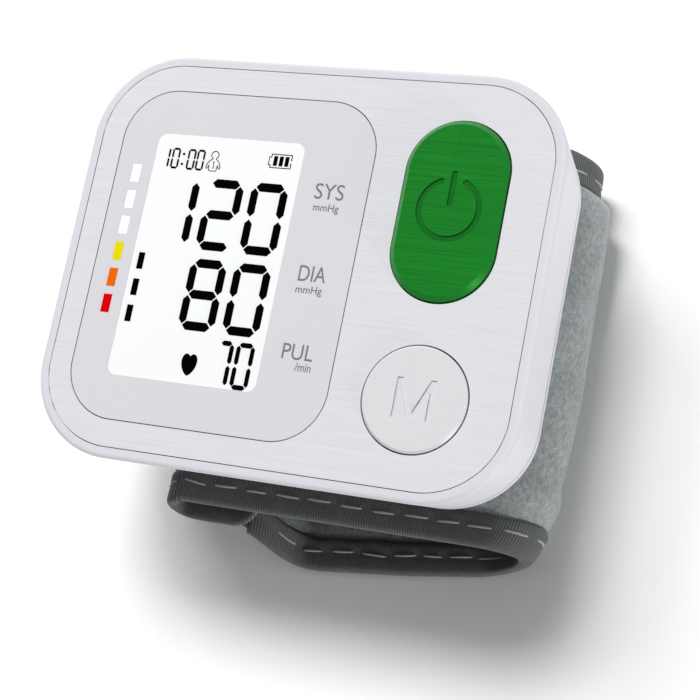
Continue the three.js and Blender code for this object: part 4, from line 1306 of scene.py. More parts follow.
@dataclass
class Keys:
    """The long power key and the round memory key. Millimetres."""

    bench: Bench
    power: Key = field(default_factory=lambda: Key(
        "green_power_key", "power_button", "power_key", (24.5, 11.8), (17.2, 30.2), 1.2, 0.8, 0.75
    ))
    memory: Key = field(default_factory=lambda: Key(
        "round_memory_key", "memory_button", "memory_key", (24.5, -19.1), (17.2, 17.2),
        0.5, 0.35, 0.6
    ))
    ring: float = 4.97
    stroke: float = 0.95
    opening: float = 24.0
    bar: Place = (0.5, 6.4)
    letter: float = 6.5
    letter_stroke: float = 0.85
    slant: float = 0.56

    def power_sign(self) -> list[Piece]:
        """Model cutters for the open ring with a bar.

        Returns:
            The ring, its two round ends and the bar.
        """
        (x, y), (low, high) = self.power.middle, self.power.cut
        deselect_everything()
        bpy.ops.mesh.primitive_plane_add(
            size=1, location=(self.ring, 0, (low + high) / 2), rotation=(QUARTER, 0, 0)
        )
        ring = added("ring", (self.stroke, high - low, 1))
        with editing(ring):
            swing = math.radians(360 - 2 * self.opening)
            bpy.ops.mesh.spin(steps=96, angle=swing, center=(0, 0, 0), axis=(0, 0, 1))
            face_out(merge=1e-5)
        heavy = sum((v.co for v in ring.data.vertices), Vector())
        ring.rotation_euler = (0, 0, QUARTER - math.atan2(-heavy.y, -heavy.x))
        ring.location = (x, y, 0)
        cutters = [fix_place(ring)]
        for side in (-1, 1):
            angle = QUARTER + side * math.radians(self.opening)
            place = (x + self.ring * math.cos(angle), y + self.ring * math.sin(angle))
            cutters.append(peg("ring_end", place, self.stroke / 2, low, high, 24))
        size, middle = (self.stroke, self.bar[1] - self.bar[0]), (x, y + sum(self.bar) / 2)
        return [*cutters, slab("bar", size, self.stroke / 2, middle, high, low, 10)]

    def letter_m(self) -> list[Piece]:
        """Model cutters for the letter on the memory key.

        Returns:
            Two legs and two slanted strokes.
        """
        (x, y), (low, high) = self.memory.middle, self.memory.cut
        half, stroke = self.letter / 2, self.letter_stroke
        thick = stroke * self.slant
        cutters = []
        for side in (-1, 1):
            left = x + side * (half - stroke / 2) - stroke / 2
            cutters.append(box("leg", (left, y - half, low), (left + stroke, y + half, high)))
            slant = box("slant", (-thick, -half, low), (thick, half, high))
            with editing(slant):
                pick(slant, "VERT", lambda corners: corners[0].y > 0)
                bpy.ops.transform.translate(value=(side * (half - thick), 0, 0))
            slant.location = (x, y, 0)
            cutters.append(fix_place(slant))
        return cutters

    def make_ring(self, key: Key) -> None:
        """Model, in its rest shape, the silicone ring that lifts a key and flattens as the key
        goes down.

        Args:
            key: The key on it.
        """
        node = f"{key.body.removesuffix('_key')}_return_ring"
        low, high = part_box(node)
        bottom, top = ((z - self.bench.face.z) / MM for z in (low.z, high.z))
        ring = peg(f"{key.body}_lift_ring", key.middle, (high.x - low.x) / 2 / MM, bottom, top)
        cut_away(ring, peg("bore", key.middle, key.ring_inside, bottom - 1, top + 1))
        smooth(ring, 0.08, 40, 3)
        self.bench.settle(ring, "housing", "silicone", Palette.silicone, nodes=[node])
        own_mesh(ring)

    def make(self) -> None:
        """Model, engrave and dress both keys, and the rings that lift them."""
        for key, marks, finishes in (
            (self.power, self.power_sign, (Palette.power, Palette.power_mark_painted_shade)),
            (self.memory, self.letter_m, (Palette.memory, Palette.memory_mark)),
        ):
            piece = key.blank()
            smooth(piece, 0.06, 30)
            key.engrave(piece, marks())
            smooth(piece)
            dress(piece, *finishes)
            key.colour_mark(piece)
            self.bench.settle(piece, key.body, key.body, *finishes, nodes=[key.node])
            self.make_ring(key)


# --- Display -----------------------------------------------------------------

DIGIT_BARS: dict[str, str] = {
    "0": "abcdef", "1": "bc", "2": "abged", "7": "abc", "8": "abcdefg",
}
BIG, BIG_STROKE, SMALL_STROKE = (6.6, 12.4), 1.33, 0.3
DIGITS: tuple[tuple[str, float, float, Place, float], ...] = (
    ("1", -21.1, 1.37, (BIG_STROKE, 12.4), BIG_STROKE),
    ("2", -18.32, 1.37, BIG, BIG_STROKE),
    ("0", -10.32, 1.37, BIG, BIG_STROKE),
    ("8", -18.32, -12.42, (6.6, 12.2), BIG_STROKE),
    ("0", -10.32, -12.42, (6.6, 12.2), BIG_STROKE),
    ("7", -10.2, -21.3, (2.75, 7.85), 0.72),
    ("0", -6.95, -21.3, (3.22, 7.85), 0.72),
    ("1", -26.83, 15.0, (SMALL_STROKE, 3.67), SMALL_STROKE),
    ("0", -26.15, 15.0, (1.45, 3.67), SMALL_STROKE),
    ("0", -23.2, 15.0, (1.45, 3.67), SMALL_STROKE),
    ("0", -21.5, 15.0, (1.45, 3.67), SMALL_STROKE),
)
WORDS: tuple[tuple[str, Place, Place, float], ...] = (
    ("SYS", (0.93, 6.0), (11.93, 14.6), 0.004),
    ("mmHg", (1.17, 5.6), (9.5, 11.12), 0.002),
    ("DIA", (1.07, 5.77), (-2.1, 0.53), 0.004),
    ("mmHg", (1.07, 5.6), (-4.5, -2.88), 0.002),
    ("PUL", (1.0, 6.33), (-15.17, -12.6), 0.004),
    ("/min", (3.67, 6.4), (-17.0, -15.55), 0.002),
)
PERSON_SIDE: tuple[Place, ...] = (
    (0.29, 17.3), (0.34, 17.2), (0.62, 17.02), (0.95, 16.72), (1.17, 16.3), (1.29, 15.8),
    (1.22, 15.52), (1.08, 15.5), (0.94, 15.75), (0.8, 16.2), (0.72, 15.8), (0.7, 15.3),
    (0.58, 15.1),
)
BATTERY_LINE: tuple[Place, ...] = (
    (-4.31, 17.96), (-4.31, 18.93), (-7.97, 18.93), (-7.97, 18.42), (-8.32, 18.42),
    (-8.32, 17.05), (-7.97, 17.05), (-7.97, 16.59), (-4.31, 16.59), (-4.31, 17.5),
)
HEART_SIDE: tuple[Place, ...] = (
    (0.2, 1.62), (0.42, 1.79), (0.66, 1.83), (0.9, 1.76), (1.12, 1.56), (1.29, 1.22),
    (1.38, 0.78), (1.36, 0.3), (1.26, -0.2), (1.08, -0.68), (0.84, -1.1), (0.56, -1.45),
    (0.26, -1.7),
)


@dataclass
class Display:
    """Panel, lit window, its figures and the print beside it. Millimetres."""

    bench: Bench
    middle: Place = (-13.0, 0.0)
    size: Place = (46.0, 57.6)
    corner: float = 9.0
    window_middle: Place = (-15.8, -0.15)
    window_size: Place = (26.9, 42.5)
    window_corner: float = 1.6
    print_top: float = 0.05
    figure_top: float = 0.11
    person_x: float = -18.21
    heart: Place = (-14.78, -18.17)

    def polygon(self, corners: Sequence[Place]) -> Piece:
        """Model one thin flat figure of the screen.

        Args:
            corners: Its outline, in order.

        Returns:
            The figure, a closed body that reaches a little into the panel.
        """
        deselect_everything()
        bpy.ops.mesh.primitive_circle_add(
            vertices=len(corners), radius=1, fill_type="NGON", location=(0, 0, self.figure_top)
        )
        piece = added("figure")
        around = sorted(piece.data.vertices, key=lambda v: math.atan2(v.co.y, v.co.x))
        following = [*corners[1:], corners[0]]
        area = sum(a[0] * b[1] - b[0] * a[1] for a, b in zip(corners, following))
        for vertex, corner in zip(around, corners if area >= 0 else reversed(corners)):
            vertex.co = (*corner, self.figure_top)
        with editing(piece):
            extrude_all(-PRINT)
        return piece

    def digit(
        self, figure: str, left: float, bottom: float, size: Place, stroke: float
    ) -> list[Piece]:
        """Model the bars of one seven-bar figure.

        Args:
            figure: Which figure.
            left: Its left edge.
            bottom: Its lower edge.
            size: Its width and height.
            stroke: Width of an upright bar.

        Returns:
            One body for each bar.
        """
        thick = stroke * 1.12
        x0, x1 = left + stroke / 2, left + size[0] - stroke / 2
        levels = {
            "a": bottom + size[1] - thick / 2, "g": bottom + size[1] / 2, "d": bottom + thick / 2,
        }
        bars = []
        for name in DIGIT_BARS[figure]:
            level = name in levels
            if level:
                middle, half, tip = levels[name], thick / 2, thick / 2 * 0.9
                a, b = x0 + stroke * 0.1, x1 - stroke * 0.11
            else:
                middle, half, tip = x1 if name in "bc" else x0, stroke / 2, stroke / 2 * 1.06
                low, high = ("g", "a") if name in "bf" else ("d", "g")
                a, b = levels[low] + stroke * 0.2, levels[high] - stroke * 0.2
            outline = [
                (a, middle), (a + tip, middle + half), (b - tip, middle + half),
                (b, middle), (b - tip, middle - half), (a + tip, middle - half),
            ]
            bars.append(self.polygon(outline if level else [corner[::-1] for corner in outline]))
        return bars

    def bar(self, middle: Place, size: Place, top: float) -> Piece:
        """Return one upright bar with square corners."""
        return slab("bar", size, 0, middle, top, top - PRINT)

    def line(self, points: Sequence[Place], stroke: float) -> Piece:
        """Model a thin drawn line on the screen.

        Args:
            points: Where it runs.
            stroke: Its width.

        Returns:
            The line as a mesh.
        """
        curve = bpy.data.curves.new("line", "CURVE")
        curve.dimensions = "3D"
        spline = curve.splines.new("POLY")
        spline.points.add(len(points) - 1)
        for number, place in enumerate(points):
            spline.points[number].co = (*place, 0, 1)
        curve.bevel_depth = stroke / 2
        curve.bevel_resolution = 2
        piece = bpy.data.objects.new("line", curve)
        bpy.context.scene.collection.objects.link(piece)
        work_on(piece)
        bpy.ops.object.convert(target="MESH")
        piece = bpy.context.object
        piece.location = (0, 0, self.figure_top - 0.03)
        return fix_place(piece, (1, 1, 0.3))

    def lettering(self, text: str, across: Place, upright: Place, thin: float) -> Piece:
        """Set a short text into a given field.

        Args:
            text: What it says.
            across: Left and right edge of the field.
            upright: Its lower and upper edge.
            thin: How much its strokes are thinned, as a share of its height.

        Returns:
            The text as a thin mesh.
        """
        deselect_everything()
        bpy.ops.object.text_add(location=(0, 0, 0))
        curve = bpy.context.object.data
        curve.body = text
        curve.extrude = 0.05
        curve.offset = -thin
        curve.resolution_u = 6
        bpy.ops.object.convert(target="MESH")
        piece = bpy.context.object
        points = np.array([v.co for v in piece.data.vertices])
        shares = (points - points.min(0)) / (points.max(0) - points.min(0))
        for vertex, share in zip(piece.data.vertices, shares):
            z = self.print_top - PRINT * (1 - share[2])
            vertex.co = (mix(*across, share[0]), mix(*upright, share[1]), z)
        return piece

    def person(self) -> list[Piece]:
        """Model the outline of a person with the number of the memory in it.

        Returns:
            The head, the body and the number.
        """
        x, radius, neck = self.person_x, 0.66, 0.45
        head = [
            (x + radius * math.sin(angle), 17.94 - radius * math.cos(angle))
            for angle in np.linspace(neck, math.tau - neck, 28)
        ]
        right = [(x + dx, y) for dx, y in PERSON_SIDE]
        left = [(x - dx, y) for dx, y in reversed(PERSON_SIDE)]
        one = self.line([(x - 0.16, 16.55), (x + 0.05, 16.78), (x + 0.05, 15.52)], 0.17)
        return [self.line([*head, left[-1]], 0.14), self.line([*right, *left], 0.14), one]

    def battery(self) -> list[Piece]:
        """Return the small battery sign with its three bars."""
        bars = [self.bar((x, 17.77), (0.66, 1.66), self.figure_top) for x in (-7.16, -6.12, -5.1)]
        return [self.line(BATTERY_LINE, 0.19), *bars]

    def pulse(self) -> Piece:
        """Model the small heart of the pulse.

        Returns:
            The heart.
        """
        left = [(-x, y) for x, y in reversed(HEART_SIDE)]
        corners = [(0.0, 1.42), *HEART_SIDE, (0.0, -1.84), *left]
        return self.polygon([(self.heart[0] + x, self.heart[1] + y) for x, y in corners])

    def make_panel(self) -> None:
        """Model the panel and the lit window in it."""
        panel = slab("display_cover", self.size, self.corner, self.middle, 0.0, -1.0, 28)
        smooth(panel, 0.08, 40, 3)
        self.bench.settle(
            panel, "housing", "display_panel", Palette.panel, nodes=["display_panel"]
        )
        size, corner = self.window_size, self.window_corner
        window = slab("screen_window", size, corner, self.window_middle, 0.03, -0.3, 12)
        smooth(window)
        self.bench.settle(window, "housing", "screen", Palette.screen)

    def make_figures(self) -> None:
        """Model everything that the screen shows."""
        pieces = [bar for row in DIGITS for bar in self.digit(*row)]
        for y in (17.69, 15.9):
            pieces.append(peg("colon", (-24.02, y), 0.22, -0.01, self.figure_top, 16))
        for y in (-1.57, -6.17, -10.73):
            pieces.append(self.bar((-27.6, y), (1.1, 2.85), self.figure_top))
        figures = joined(
            "screen_figures", [*pieces, *self.person(), *self.battery(), self.pulse()]
        )
        smooth(figures, 0.0, 40)
        self.bench.settle(figures, "housing", "screen", Palette.segment)

    def make_print(self) -> None:
        """Model the coloured scale and the grey words beside the window."""
        for name, ink, heights in (
            ("scale_white", Palette.white_ink, (13.63, 8.93, 4.33)),
            ("scale_yellow", Palette.yellow_ink, (-0.27,)),
            ("scale_orange", Palette.orange_ink, (-4.9,)),
            ("scale_red", Palette.red_ink, (-9.47,)),
        ):
            bars = [self.bar((-32.2, y), (1.55, 3.15), self.print_top) for y in heights]
            self.settle_print(joined(name, bars), ink)
        words = [self.lettering(*row) for row in WORDS]
        self.settle_print(joined("grey_words", words), Palette.grey_ink)

    def settle_print(self, piece: Piece, ink: Ink) -> None:
        """Bring a printed piece to its place on the panel."""
        smooth(piece)
        self.bench.settle(piece, "housing", "display_panel", ink)

    def make(self) -> None:
        """Model and dress the whole display."""
        self.make_panel()
        self.make_figures()
        self.make_print()


# --- Inner works, which keep the frame's own shapes --------------------------


@dataclass
class InnerWorks:
    """Finishes of the nodes whose shape stays as it is."""

    finishes: dict[Finish, str] = field(default_factory=lambda: {
        Palette.screen: "lcd_glass",
        Palette.white_plastic: "lcd_backlight pressure_sensor",
        Palette.rubber: "lcd_contact_strip",
        Palette.black_plastic: "power_switch_case memory_switch_case buzzer",
        Palette.board: "circuit_board",
        Palette.cell: "battery_outer battery_inner",
        Palette.steel: "power_switch_plunger memory_switch_plunger battery_bridge_contact"
        " battery_outer_contact battery_inner_contact pump_motor pump_shaft valve_pin"
        " shell_screw_1 shell_screw_2 shell_screw_3 shell_screw_4",
        Palette.grey_plastic: "pump_head valve_body air_block cuff_carrier",
        Palette.silicone: "sensor_seal pump_hose valve_hose air_nipple",
    })

    def make(self) -> None:
        """Give every such node its finish."""
        for finish, names in self.finishes.items():
            for name in names.split():
                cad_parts[name].data.materials.clear()
                dress(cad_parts[name], finish)
            log.info("%s: %s", finish.name, names)


# --- Cuff --------------------------------------------------------------------


class Rim(Enum):
    """Which long edge of a strip, by the way from it to the strip's middle."""

    NEAR = 1
    FAR = -1


class Ply(Enum):
    """Which side of a strip a sheet lies on."""

    OUTER = 1
    INNER = -1


@dataclass(frozen=True)
class Stop:
    """One step along a strip: its place and angle, and what changes softly along it."""

    x: float
    z: float
    angle: float
    skew: float = 0.0
    swell: float = 0.0
    inner: float = 0.0
    lean: float = 0.0
    tuck: float = 0.0
    slow: float = 0.0
    scale: float = 1.0
    bend: float = 0.0


@dataclass
class Path:
    """A strip's way seen from its near end, with what changes along it. Millimetres."""

    stops: list[Stop]
    corner: float
    near_edge: float = -37.5
    width: float = 70.0
    forward: float = 6.9
    far_share: float = 0.6
    evening: float = 1.6
    sag_y: Sequence[float] = (
        -42, -39.5, -38, -36, -34, -31.5, -28.5, -25, -20, -15, -10, 0, 10, 20, 26, 33,
    )
    sag_x: Sequence[float] = (
        -5.2, -4.2, -2.9, -1.7, -0.85, -0.3, -0.9, -1.6, -1.1, -0.7, -0.3, 0, 0.35, 0.35, 0.3, 0.3,
    )

    def __post_init__(self) -> None:
        """Measure the way along the strip and even out its soft values."""
        rows = np.array([astuple(stop) for stop in self.stops], float).T
        steps = np.hypot(np.diff(rows[0]), np.diff(rows[1]))
        self.s = np.concatenate([[0.0], np.cumsum(steps)])
        even = rows.copy()
        for number, at in enumerate(self.s):
            weight = np.exp(-0.5 * ((self.s - at) / self.evening) ** 2) * np.gradient(self.s)
            even[3:, number] = (rows[3:] * weight).sum(1) / weight.sum()
        self.rows = dict(zip([value.name for value in fields(Stop)], even))

    @property
    def length(self) -> float:
        """Length of the strip."""
        return float(self.s[-1])

    def value(self, name: str, s: np.ndarray) -> np.ndarray:
        """Return one of the strip's values at places along it."""
        return np.interp(s, self.s, self.rows[name])

    def edge(self, rim: Rim, s: np.ndarray) -> np.ndarray:
        """Find one edge, which the rounded corners at the strip's end draw in.

        Args:
            rim: Which edge.
            s: Places along the strip.

        Returns:
            Y of the edge there.
        """
        into = np.clip(s - (self.length - self.corner), 0, self.corner * 0.97)
        drawn = self.corner - np.sqrt(self.corner**2 - into**2)
        skew = self.forward * self.value("skew", s)
        if rim is Rim.NEAR:
            return self.near_edge - skew + drawn
        tuck = self.value("tuck", s)
        return self.near_edge + self.width - self.far_share * skew - tuck - drawn

    def across(self, s: np.ndarray, share: np.ndarray, margin: float) -> np.ndarray:
        """Return Y at shares of the way between both edges, less a margin at each."""
        near, far = self.edge(Rim.NEAR, s) + margin, self.edge(Rim.FAR, s) - margin
        return near + (far - near) * share

    def place(self, s: np.ndarray, y: np.ndarray, t: np.ndarray) -> np.ndarray:
        """Find points of the strip.

        Args:
            s: Places along the strip.
            y: Y of each point.
            t: How far each point stands off the strip's middle, outwards.

        Returns:
            One row of three coordinates for each point, Z from the table.
        """
        inside = np.clip(s, 0, self.length)
        beyond = s - inside
        angle = self.value("angle", inside)
        nx, nz = np.cos(angle), np.sin(angle)
        x = self.value("x", inside) + nx * t + nz * beyond
        z = self.value("z", inside) + nz * t - nx * beyond
        x = x - self.value("lean", inside) * (y - self.near_edge)
        x = x + self.value("bend", inside) * np.interp(y, self.sag_y, self.sag_x)
        return np.stack([x, y, z], axis=-1)


@dataclass
class CuffShape:
    """Sizes of the cuff's loop. Millimetres, Z from the table."""

    fold: float = -22.97
    bend: float = 34.05
    bound: float = 2.6
    height: float = 16.0
    top_swell: float = 0.5
    shoulder_swell: float = 1.2
    shoulder: float = 0.93
    side_swell: float = 2.4
    inner_swell: float = 1.2
    gap: float = 0.3
    bend_lean: float = 0.034
    bend_tuck: float = 0.6
    strap_lean: float = 0.07
    tab_lean: float = 0.02
    rise_start: float = -2.0
    rise_end: float = -13.0
    tab_end: float = -20.0
    tab_top: float = 9.2
    tab_thickness: float = 0.6
    tab_corner: float = 5.0
    flap_end: float = -9.5
    flap_top: float = 11.4
    flap_thickness: float = 1.5
    flap_corner: float = 4.5
    end_taper: float = 0.6
    skews: tuple[float, float, float, float] = (0.05, 0.5, 1.04, 0.36)

    @property
    def top_middle(self) -> float:
        """Height of the middle of the top strip."""
        return self.height - self.bound / 2

    def turned(self, angle: float) -> Place:
        """Return the place at one angle of the right bend."""
        radius = (self.height - self.bound) / 2
        return self.bend + math.cos(angle) * radius, self.height / 2 + math.sin(angle) * radius

    def top_and_bend(self) -> list[Stop]:
        """Lay out the top strip and the right bend.

        Returns:
            The stops from the fold to the lowest point of the bend.
        """
        stops = []
        side, corner = self.skews[:2]
        for share in np.linspace(0, 1, 80):
            late = max(0.0, share - self.shoulder) / (1 - self.shoulder)
            stops.append(Stop(
                mix(self.fold, self.bend, share), self.top_middle, QUARTER,
                swell=mix(self.top_swell, self.shoulder_swell, late),
                inner=mix(self.inner_swell, self.inner_swell / 2, late),
                slow=late, bend=max(0.0, share * 5 - 4),
            ))
        for share in np.linspace(0, 1, 40)[1:]:
            angle, soon = QUARTER * (1 - share), min(1, share * 2)
            stops.append(Stop(
                *self.turned(angle), angle, side * share,
                mix(self.shoulder_swell, self.side_swell, soon),
                mix(self.inner_swell / 2, self.gap, share),
                self.bend_lean * soon, self.bend_tuck * share, slow=1, bend=1,
            ))
        for share in np.linspace(0, 1, 40)[1:]:
            angle, rest = -QUARTER * share, 1 - share
            stops.append(Stop(
                *self.turned(angle), angle, mix(side, corner, share),
                self.side_swell * max(0, 1 - 1.25 * share), self.gap,
                self.bend_lean, self.bend_tuck * rest, slow=rest, bend=1,
            ))
        return stops

    def loop(self) -> Path:
        """Lay out the long strip, from the fold over the bend to the tab's end.

        Returns:
            Its way.
        """
        stops = self.top_and_bend()
        corner, rise, risen = self.skews[1:]
        low, high = self.bound / 2, self.tab_top - self.tab_thickness / 2
        for share in np.linspace(0, 1, 40)[1:]:
            stops.append(Stop(
                mix(self.bend, self.rise_start, share), low, -QUARTER, mix(corner, rise, share),
                inner=self.gap, lean=mix(self.bend_lean, self.strap_lean, share),
                bend=max(0.0, 1 - share * 2),
            ))
        half = (self.rise_start - self.rise_end) / 2
        guides = np.array([
            (self.rise_start, low), (self.rise_start - half, low),
            (self.rise_end + half, high), (self.rise_end, high),
        ])
        for share in np.linspace(0, 1, 40)[1:]:
            rest = 1 - share
            weights = (rest**3, 3 * rest**2 * share, 3 * rest * share**2, share**3)
            x, z = np.array(weights) @ guides
            dx, dz = np.array([rest**2, 2 * rest * share, share**2]) @ np.diff(guides, axis=0)
            stops.append(Stop(
                x, z, math.atan2(dx, -dz), mix(rise, risen, share**1.5), inner=self.gap * rest,
                lean=mix(self.strap_lean, self.tab_lean, share),
                scale=mix(1, self.end_taper, share),
            ))
        thin = self.tab_thickness / self.bound
        for share in np.linspace(0, 1, 12)[1:]:
            stops.append(Stop(
                mix(self.rise_end, self.tab_end, share), high, -QUARTER, risen,
                lean=self.tab_lean, scale=mix(self.end_taper, thin, min(1, share * 3)),
            ))
        return Path(stops, self.tab_corner)

    def flap(self) -> Path:
        """Lay out the short flap, from the fold down and back to the right.

        Returns:
            Its way.
        """
        stops = []
        risen = self.skews[3]
        middle = self.flap_top - self.flap_thickness / 2
        radius = (self.top_middle - middle) / 2
        thin = self.flap_thickness / self.bound
        for share in np.linspace(0, 1, 40):
            angle, left = QUARTER + math.pi * share, max(0.0, 1 - share * 3)
            stops.append(Stop(
                self.fold + math.cos(angle) * radius,
                self.top_middle - radius + math.sin(angle) * radius,
                angle, risen * share, self.top_swell * left, self.inner_swell * left,
                scale=mix(1, thin, share),
            ))
        for share in np.linspace(0, 1, 20)[1:]:
            x = mix(self.fold, self.flap_end, share)
            stops.append(Stop(x, middle, 3 * QUARTER, risen, scale=thin))
        return Path(stops, self.flap_corner)


@dataclass(frozen=True)
class Sheet:
    """One sheet of a strip. Millimetres."""

    name: str
    slot: str
    finish: Finish
    ply: Ply
    faces: tuple[int, int]
    nodes: tuple[str, ...] = ()
    short: float = 0.0
    pressure: float = 0.0


@dataclass(frozen=True)
class Strip:
    """What one strip of the cuff is made of, and how it moves. Millimetres."""

    name: str
    body: str
    path: Path
    sheets: tuple[Sheet, Sheet]
    tape_faces: int
    parts: tuple[str, ...]
    hinge: float
    zone: Place
    rests_on: str
    tape_short: float = 0.0
    seam_short: float = 0.0


CLOTH: dict[str, Any] = {
    "quality": 6, "mass": 0.15, "tension_stiffness": 12, "compression_stiffness": 12,
    "shear_stiffness": 6, "bending_stiffness": 0.4, "vertex_group_mass": "held",
    "pin_stiffness": 1, "shrink_min": -0.003, "use_pressure": True,
}


@dataclass
class Cuff:
    """Cover, lining, bound edges, seams, tab and flap of the cuff. Millimetres."""

    bench: Bench
    shape: CuffShape = field(default_factory=CuffShape)
    ply: float = 0.7
    pinched: float = 0.5
    edge_clear: float = 0.8
    tape: float = 5.7
    tape_ply: float = 0.45
    tape_round: float = 0.95
    stitch_row: float = 3.3
    stitch: float = 4.3
    stitch_gap: float = 1.55
    stitch_start: float = 0.6
    dent: float = 0.14
    dent_width: float = 0.5
    lip: Place = (0.28, 0.8)  # height and width
    wander: float = 0.09
    thread: float = 0.22
    uneven: Place = (0.9, 1.08)
    hook: Place = (5.5, 1.5)
    hook_margin: float = 6.0
    held: float = 7.0
    held_fade: float = 4.0
    most: float = 0.6
    frames: int = 20
    under_tape: float = 0.2
    rise_reach: Place = (2.4, 5.0)  # least, and what slow adds
    rise_power: float = 1.25
    thinnest: float = 0.16
    inside: Place = (0.012, 0.0085)  # X and Z of a point in the loop, in metres

    def strips(self) -> tuple[Strip, Strip]:
        """List the two strips.

        Returns:
            The long strip and the flap.
        """
        bend, fold = self.shape.bend, self.shape.fold
        cover = ("fleece", Palette.fleece, Ply.OUTER)
        lining = ("lining", Palette.lining, Ply.INNER)
        long = (
            Sheet("fleece_cover", *cover, (210, 60), ("top_cover", "strap_cover"), pressure=2.2),
            Sheet("inner_lining", *lining, (190, 54), ("top_lining", "strap_lining"), 12.5, -0.6),
        )
        flap = (
            Sheet("flap_fleece", *cover, (60, 54), ("flap_cover",)),
            Sheet("flap_lining", *lining, (60, 54)),
        )
        return (
            Strip("edge", "strap", self.shape.loop(), long, 300, ("top", "strap"), bend,
                  (12.2, 9.9), "cuff_carrier", 8.2, 9.0),
            Strip("flap", "flap", self.shape.flap(), flap, 90, ("flap",), fold,
                  (15.0, 11.8), "fleece_cover"),
        )

    def rise(self, inward: np.ndarray, slow: np.ndarray | float) -> np.ndarray:
        """Find how far the padding has risen at distances from a bound edge.

        Args:
            inward: Distances from the edge.
            slow: Where 1, the padding rises slowly.

        Returns:
            Shares from 0, pinched, to 1, full.
        """
        reach = self.rise_reach[0] + self.rise_reach[1] * slow
        share = np.clip((inward - (self.tape - self.under_tape)) / reach, 0, 1)
        return np.sin(share * QUARTER) ** self.rise_power

    def offset(self, path: Path, s: np.ndarray, y: np.ndarray, ply: Ply) -> np.ndarray:
        """Find how far the middle of a sheet stands off the strip's middle.

        Args:
            path: The strip's way.
            s: Places along it.
            y: Y of each point.
            ply: Outer or inner sheet.

        Returns:
            Signed distances.
        """
        near, far = path.edge(Rim.NEAR, s), path.edge(Rim.FAR, s)
        crown = np.minimum(self.rise(y - near, path.value("slow", s)), self.rise(far - y, 0.0))
        swell = path.value("swell" if ply is Ply.OUTER else "inner", s)
        full = self.shape.bound / 2 - self.pinched + swell
        thick = (self.pinched + full * crown) * path.value("scale", s)
        return ply.value * np.maximum(thick - self.ply / 2, self.thinnest)

    def lay(
        self, name: str, faces: tuple[int, int], path: Path, reach: Place, rule: Rule,
        depth: float = 0.0,
    ) -> Piece:
        """Lay a grid of cloth along a strip, with its map in millimetres.

        Args:
            name: Name of the piece.
            faces: Faces along the strip and across it.
            path: The strip's way.
            reach: Where on the strip it starts and ends.
            rule: Gives Y and the outward distance for places along and shares across.
            depth: Width of the piece, for its map.

        Returns:
            The cloth, without its thickness.
        """
        deselect_everything()
        bpy.ops.mesh.primitive_grid_add(
            x_subdivisions=faces[0], y_subdivisions=faces[1], size=1, location=(0.5, 0.5, 0)
        )
        piece = added(name)
        wipe_uvs(piece)
        mesh = piece.data
        flat = vertices_of(mesh)
        s = mix(*reach, flat[:, 0])
        y, t = rule(s, flat[:, 1])
        points = path.place(s, y, t) * MM + np.array(self.bench.table)
        layer = mesh.uv_layers.new(name="weave")
        place = np.stack([s, flat[:, 1] * (depth or path.width)], axis=-1)
        for loop in mesh.loops:
            layer.data[loop.index].uv = place[loop.vertex_index]
        mesh.vertices.foreach_set("co", points.ravel())
        mesh.update()
        return piece

    def thicken(self, piece: Piece, thickness: float, offset: float = 0.0) -> None:
        """Turn a sheet into cloth with a thickness, shaded smooth.

        Args:
            piece: The sheet.
            thickness: Thickness in millimetres.
            offset: -1 grows it inwards, 0 to both sides, 1 outwards.
        """
        with editing(piece):
            face_out()
        self.face_outwards(piece)
        solid = piece.modifiers.new("Thickness", "SOLIDIFY")
        solid.thickness = thickness * MM
        solid.offset = offset
        solid.use_even_offset = False
        bpy.ops.object.modifier_apply(modifier=solid.name)
        bpy.ops.object.shade_smooth()

    def face_outwards(self, piece: Piece) -> None:
        """Turn an open sheet so that its faces look away from the inside of the loop.

        Args:
            piece: The sheet.
        """
        middle = Vector((self.bench.table.x + self.inside[0], 0, self.inside[1]))
        score = 0.0
        for face in piece.data.polygons:
            away = face.center - middle
            away.y = 0
            score += face.normal.dot(away) * face.area
        if score < 0:
            piece.data.flip_normals()

    def sheet(self, sheet: Sheet, path: Path) -> Piece:
        """Make one sheet of a strip.

        Args:
            sheet: What it is.
            path: The strip's way.

        Returns:
            The sheet with its thickness.
        """

        def rule(s: np.ndarray, share: np.ndarray) -> tuple[np.ndarray, np.ndarray]:
            """Return Y and the outward distance of the sheet."""
            y = path.across(s, share, self.edge_clear)
            return y, self.offset(path, s, y, sheet.ply)

        reach = (0.0, path.length - sheet.short)
        piece = self.lay(sheet.name, sheet.faces, path, reach, rule)
        if sheet.pressure:
            self.relax(piece, sheet.pressure)
        self.thicken(piece, self.ply)
        enter(piece, sheet.slot, sheet.finish, nodes=sheet.nodes)
        return piece

    def hold(self, piece: Piece) -> None:
        """Hold a sheet along its edges.

        Args:
            piece: The sheet.
        """
        mesh = piece.data
        layer = mesh.uv_layers["weave"]
        place = np.zeros((len(mesh.vertices), 2))
        for loop in mesh.loops:
            place[loop.vertex_index] = layer.data[loop.index].uv
        inward = np.minimum(place - place.min(0), place.max(0) - place).min(1)
        held = piece.vertex_groups.new(name="held")
        for number, distance in enumerate(inward):
            weight = 1 - min(1.0, max(0.0, (distance - self.held) / self.held_fade))
            if weight > 0:
                held.add([number], weight, "REPLACE")

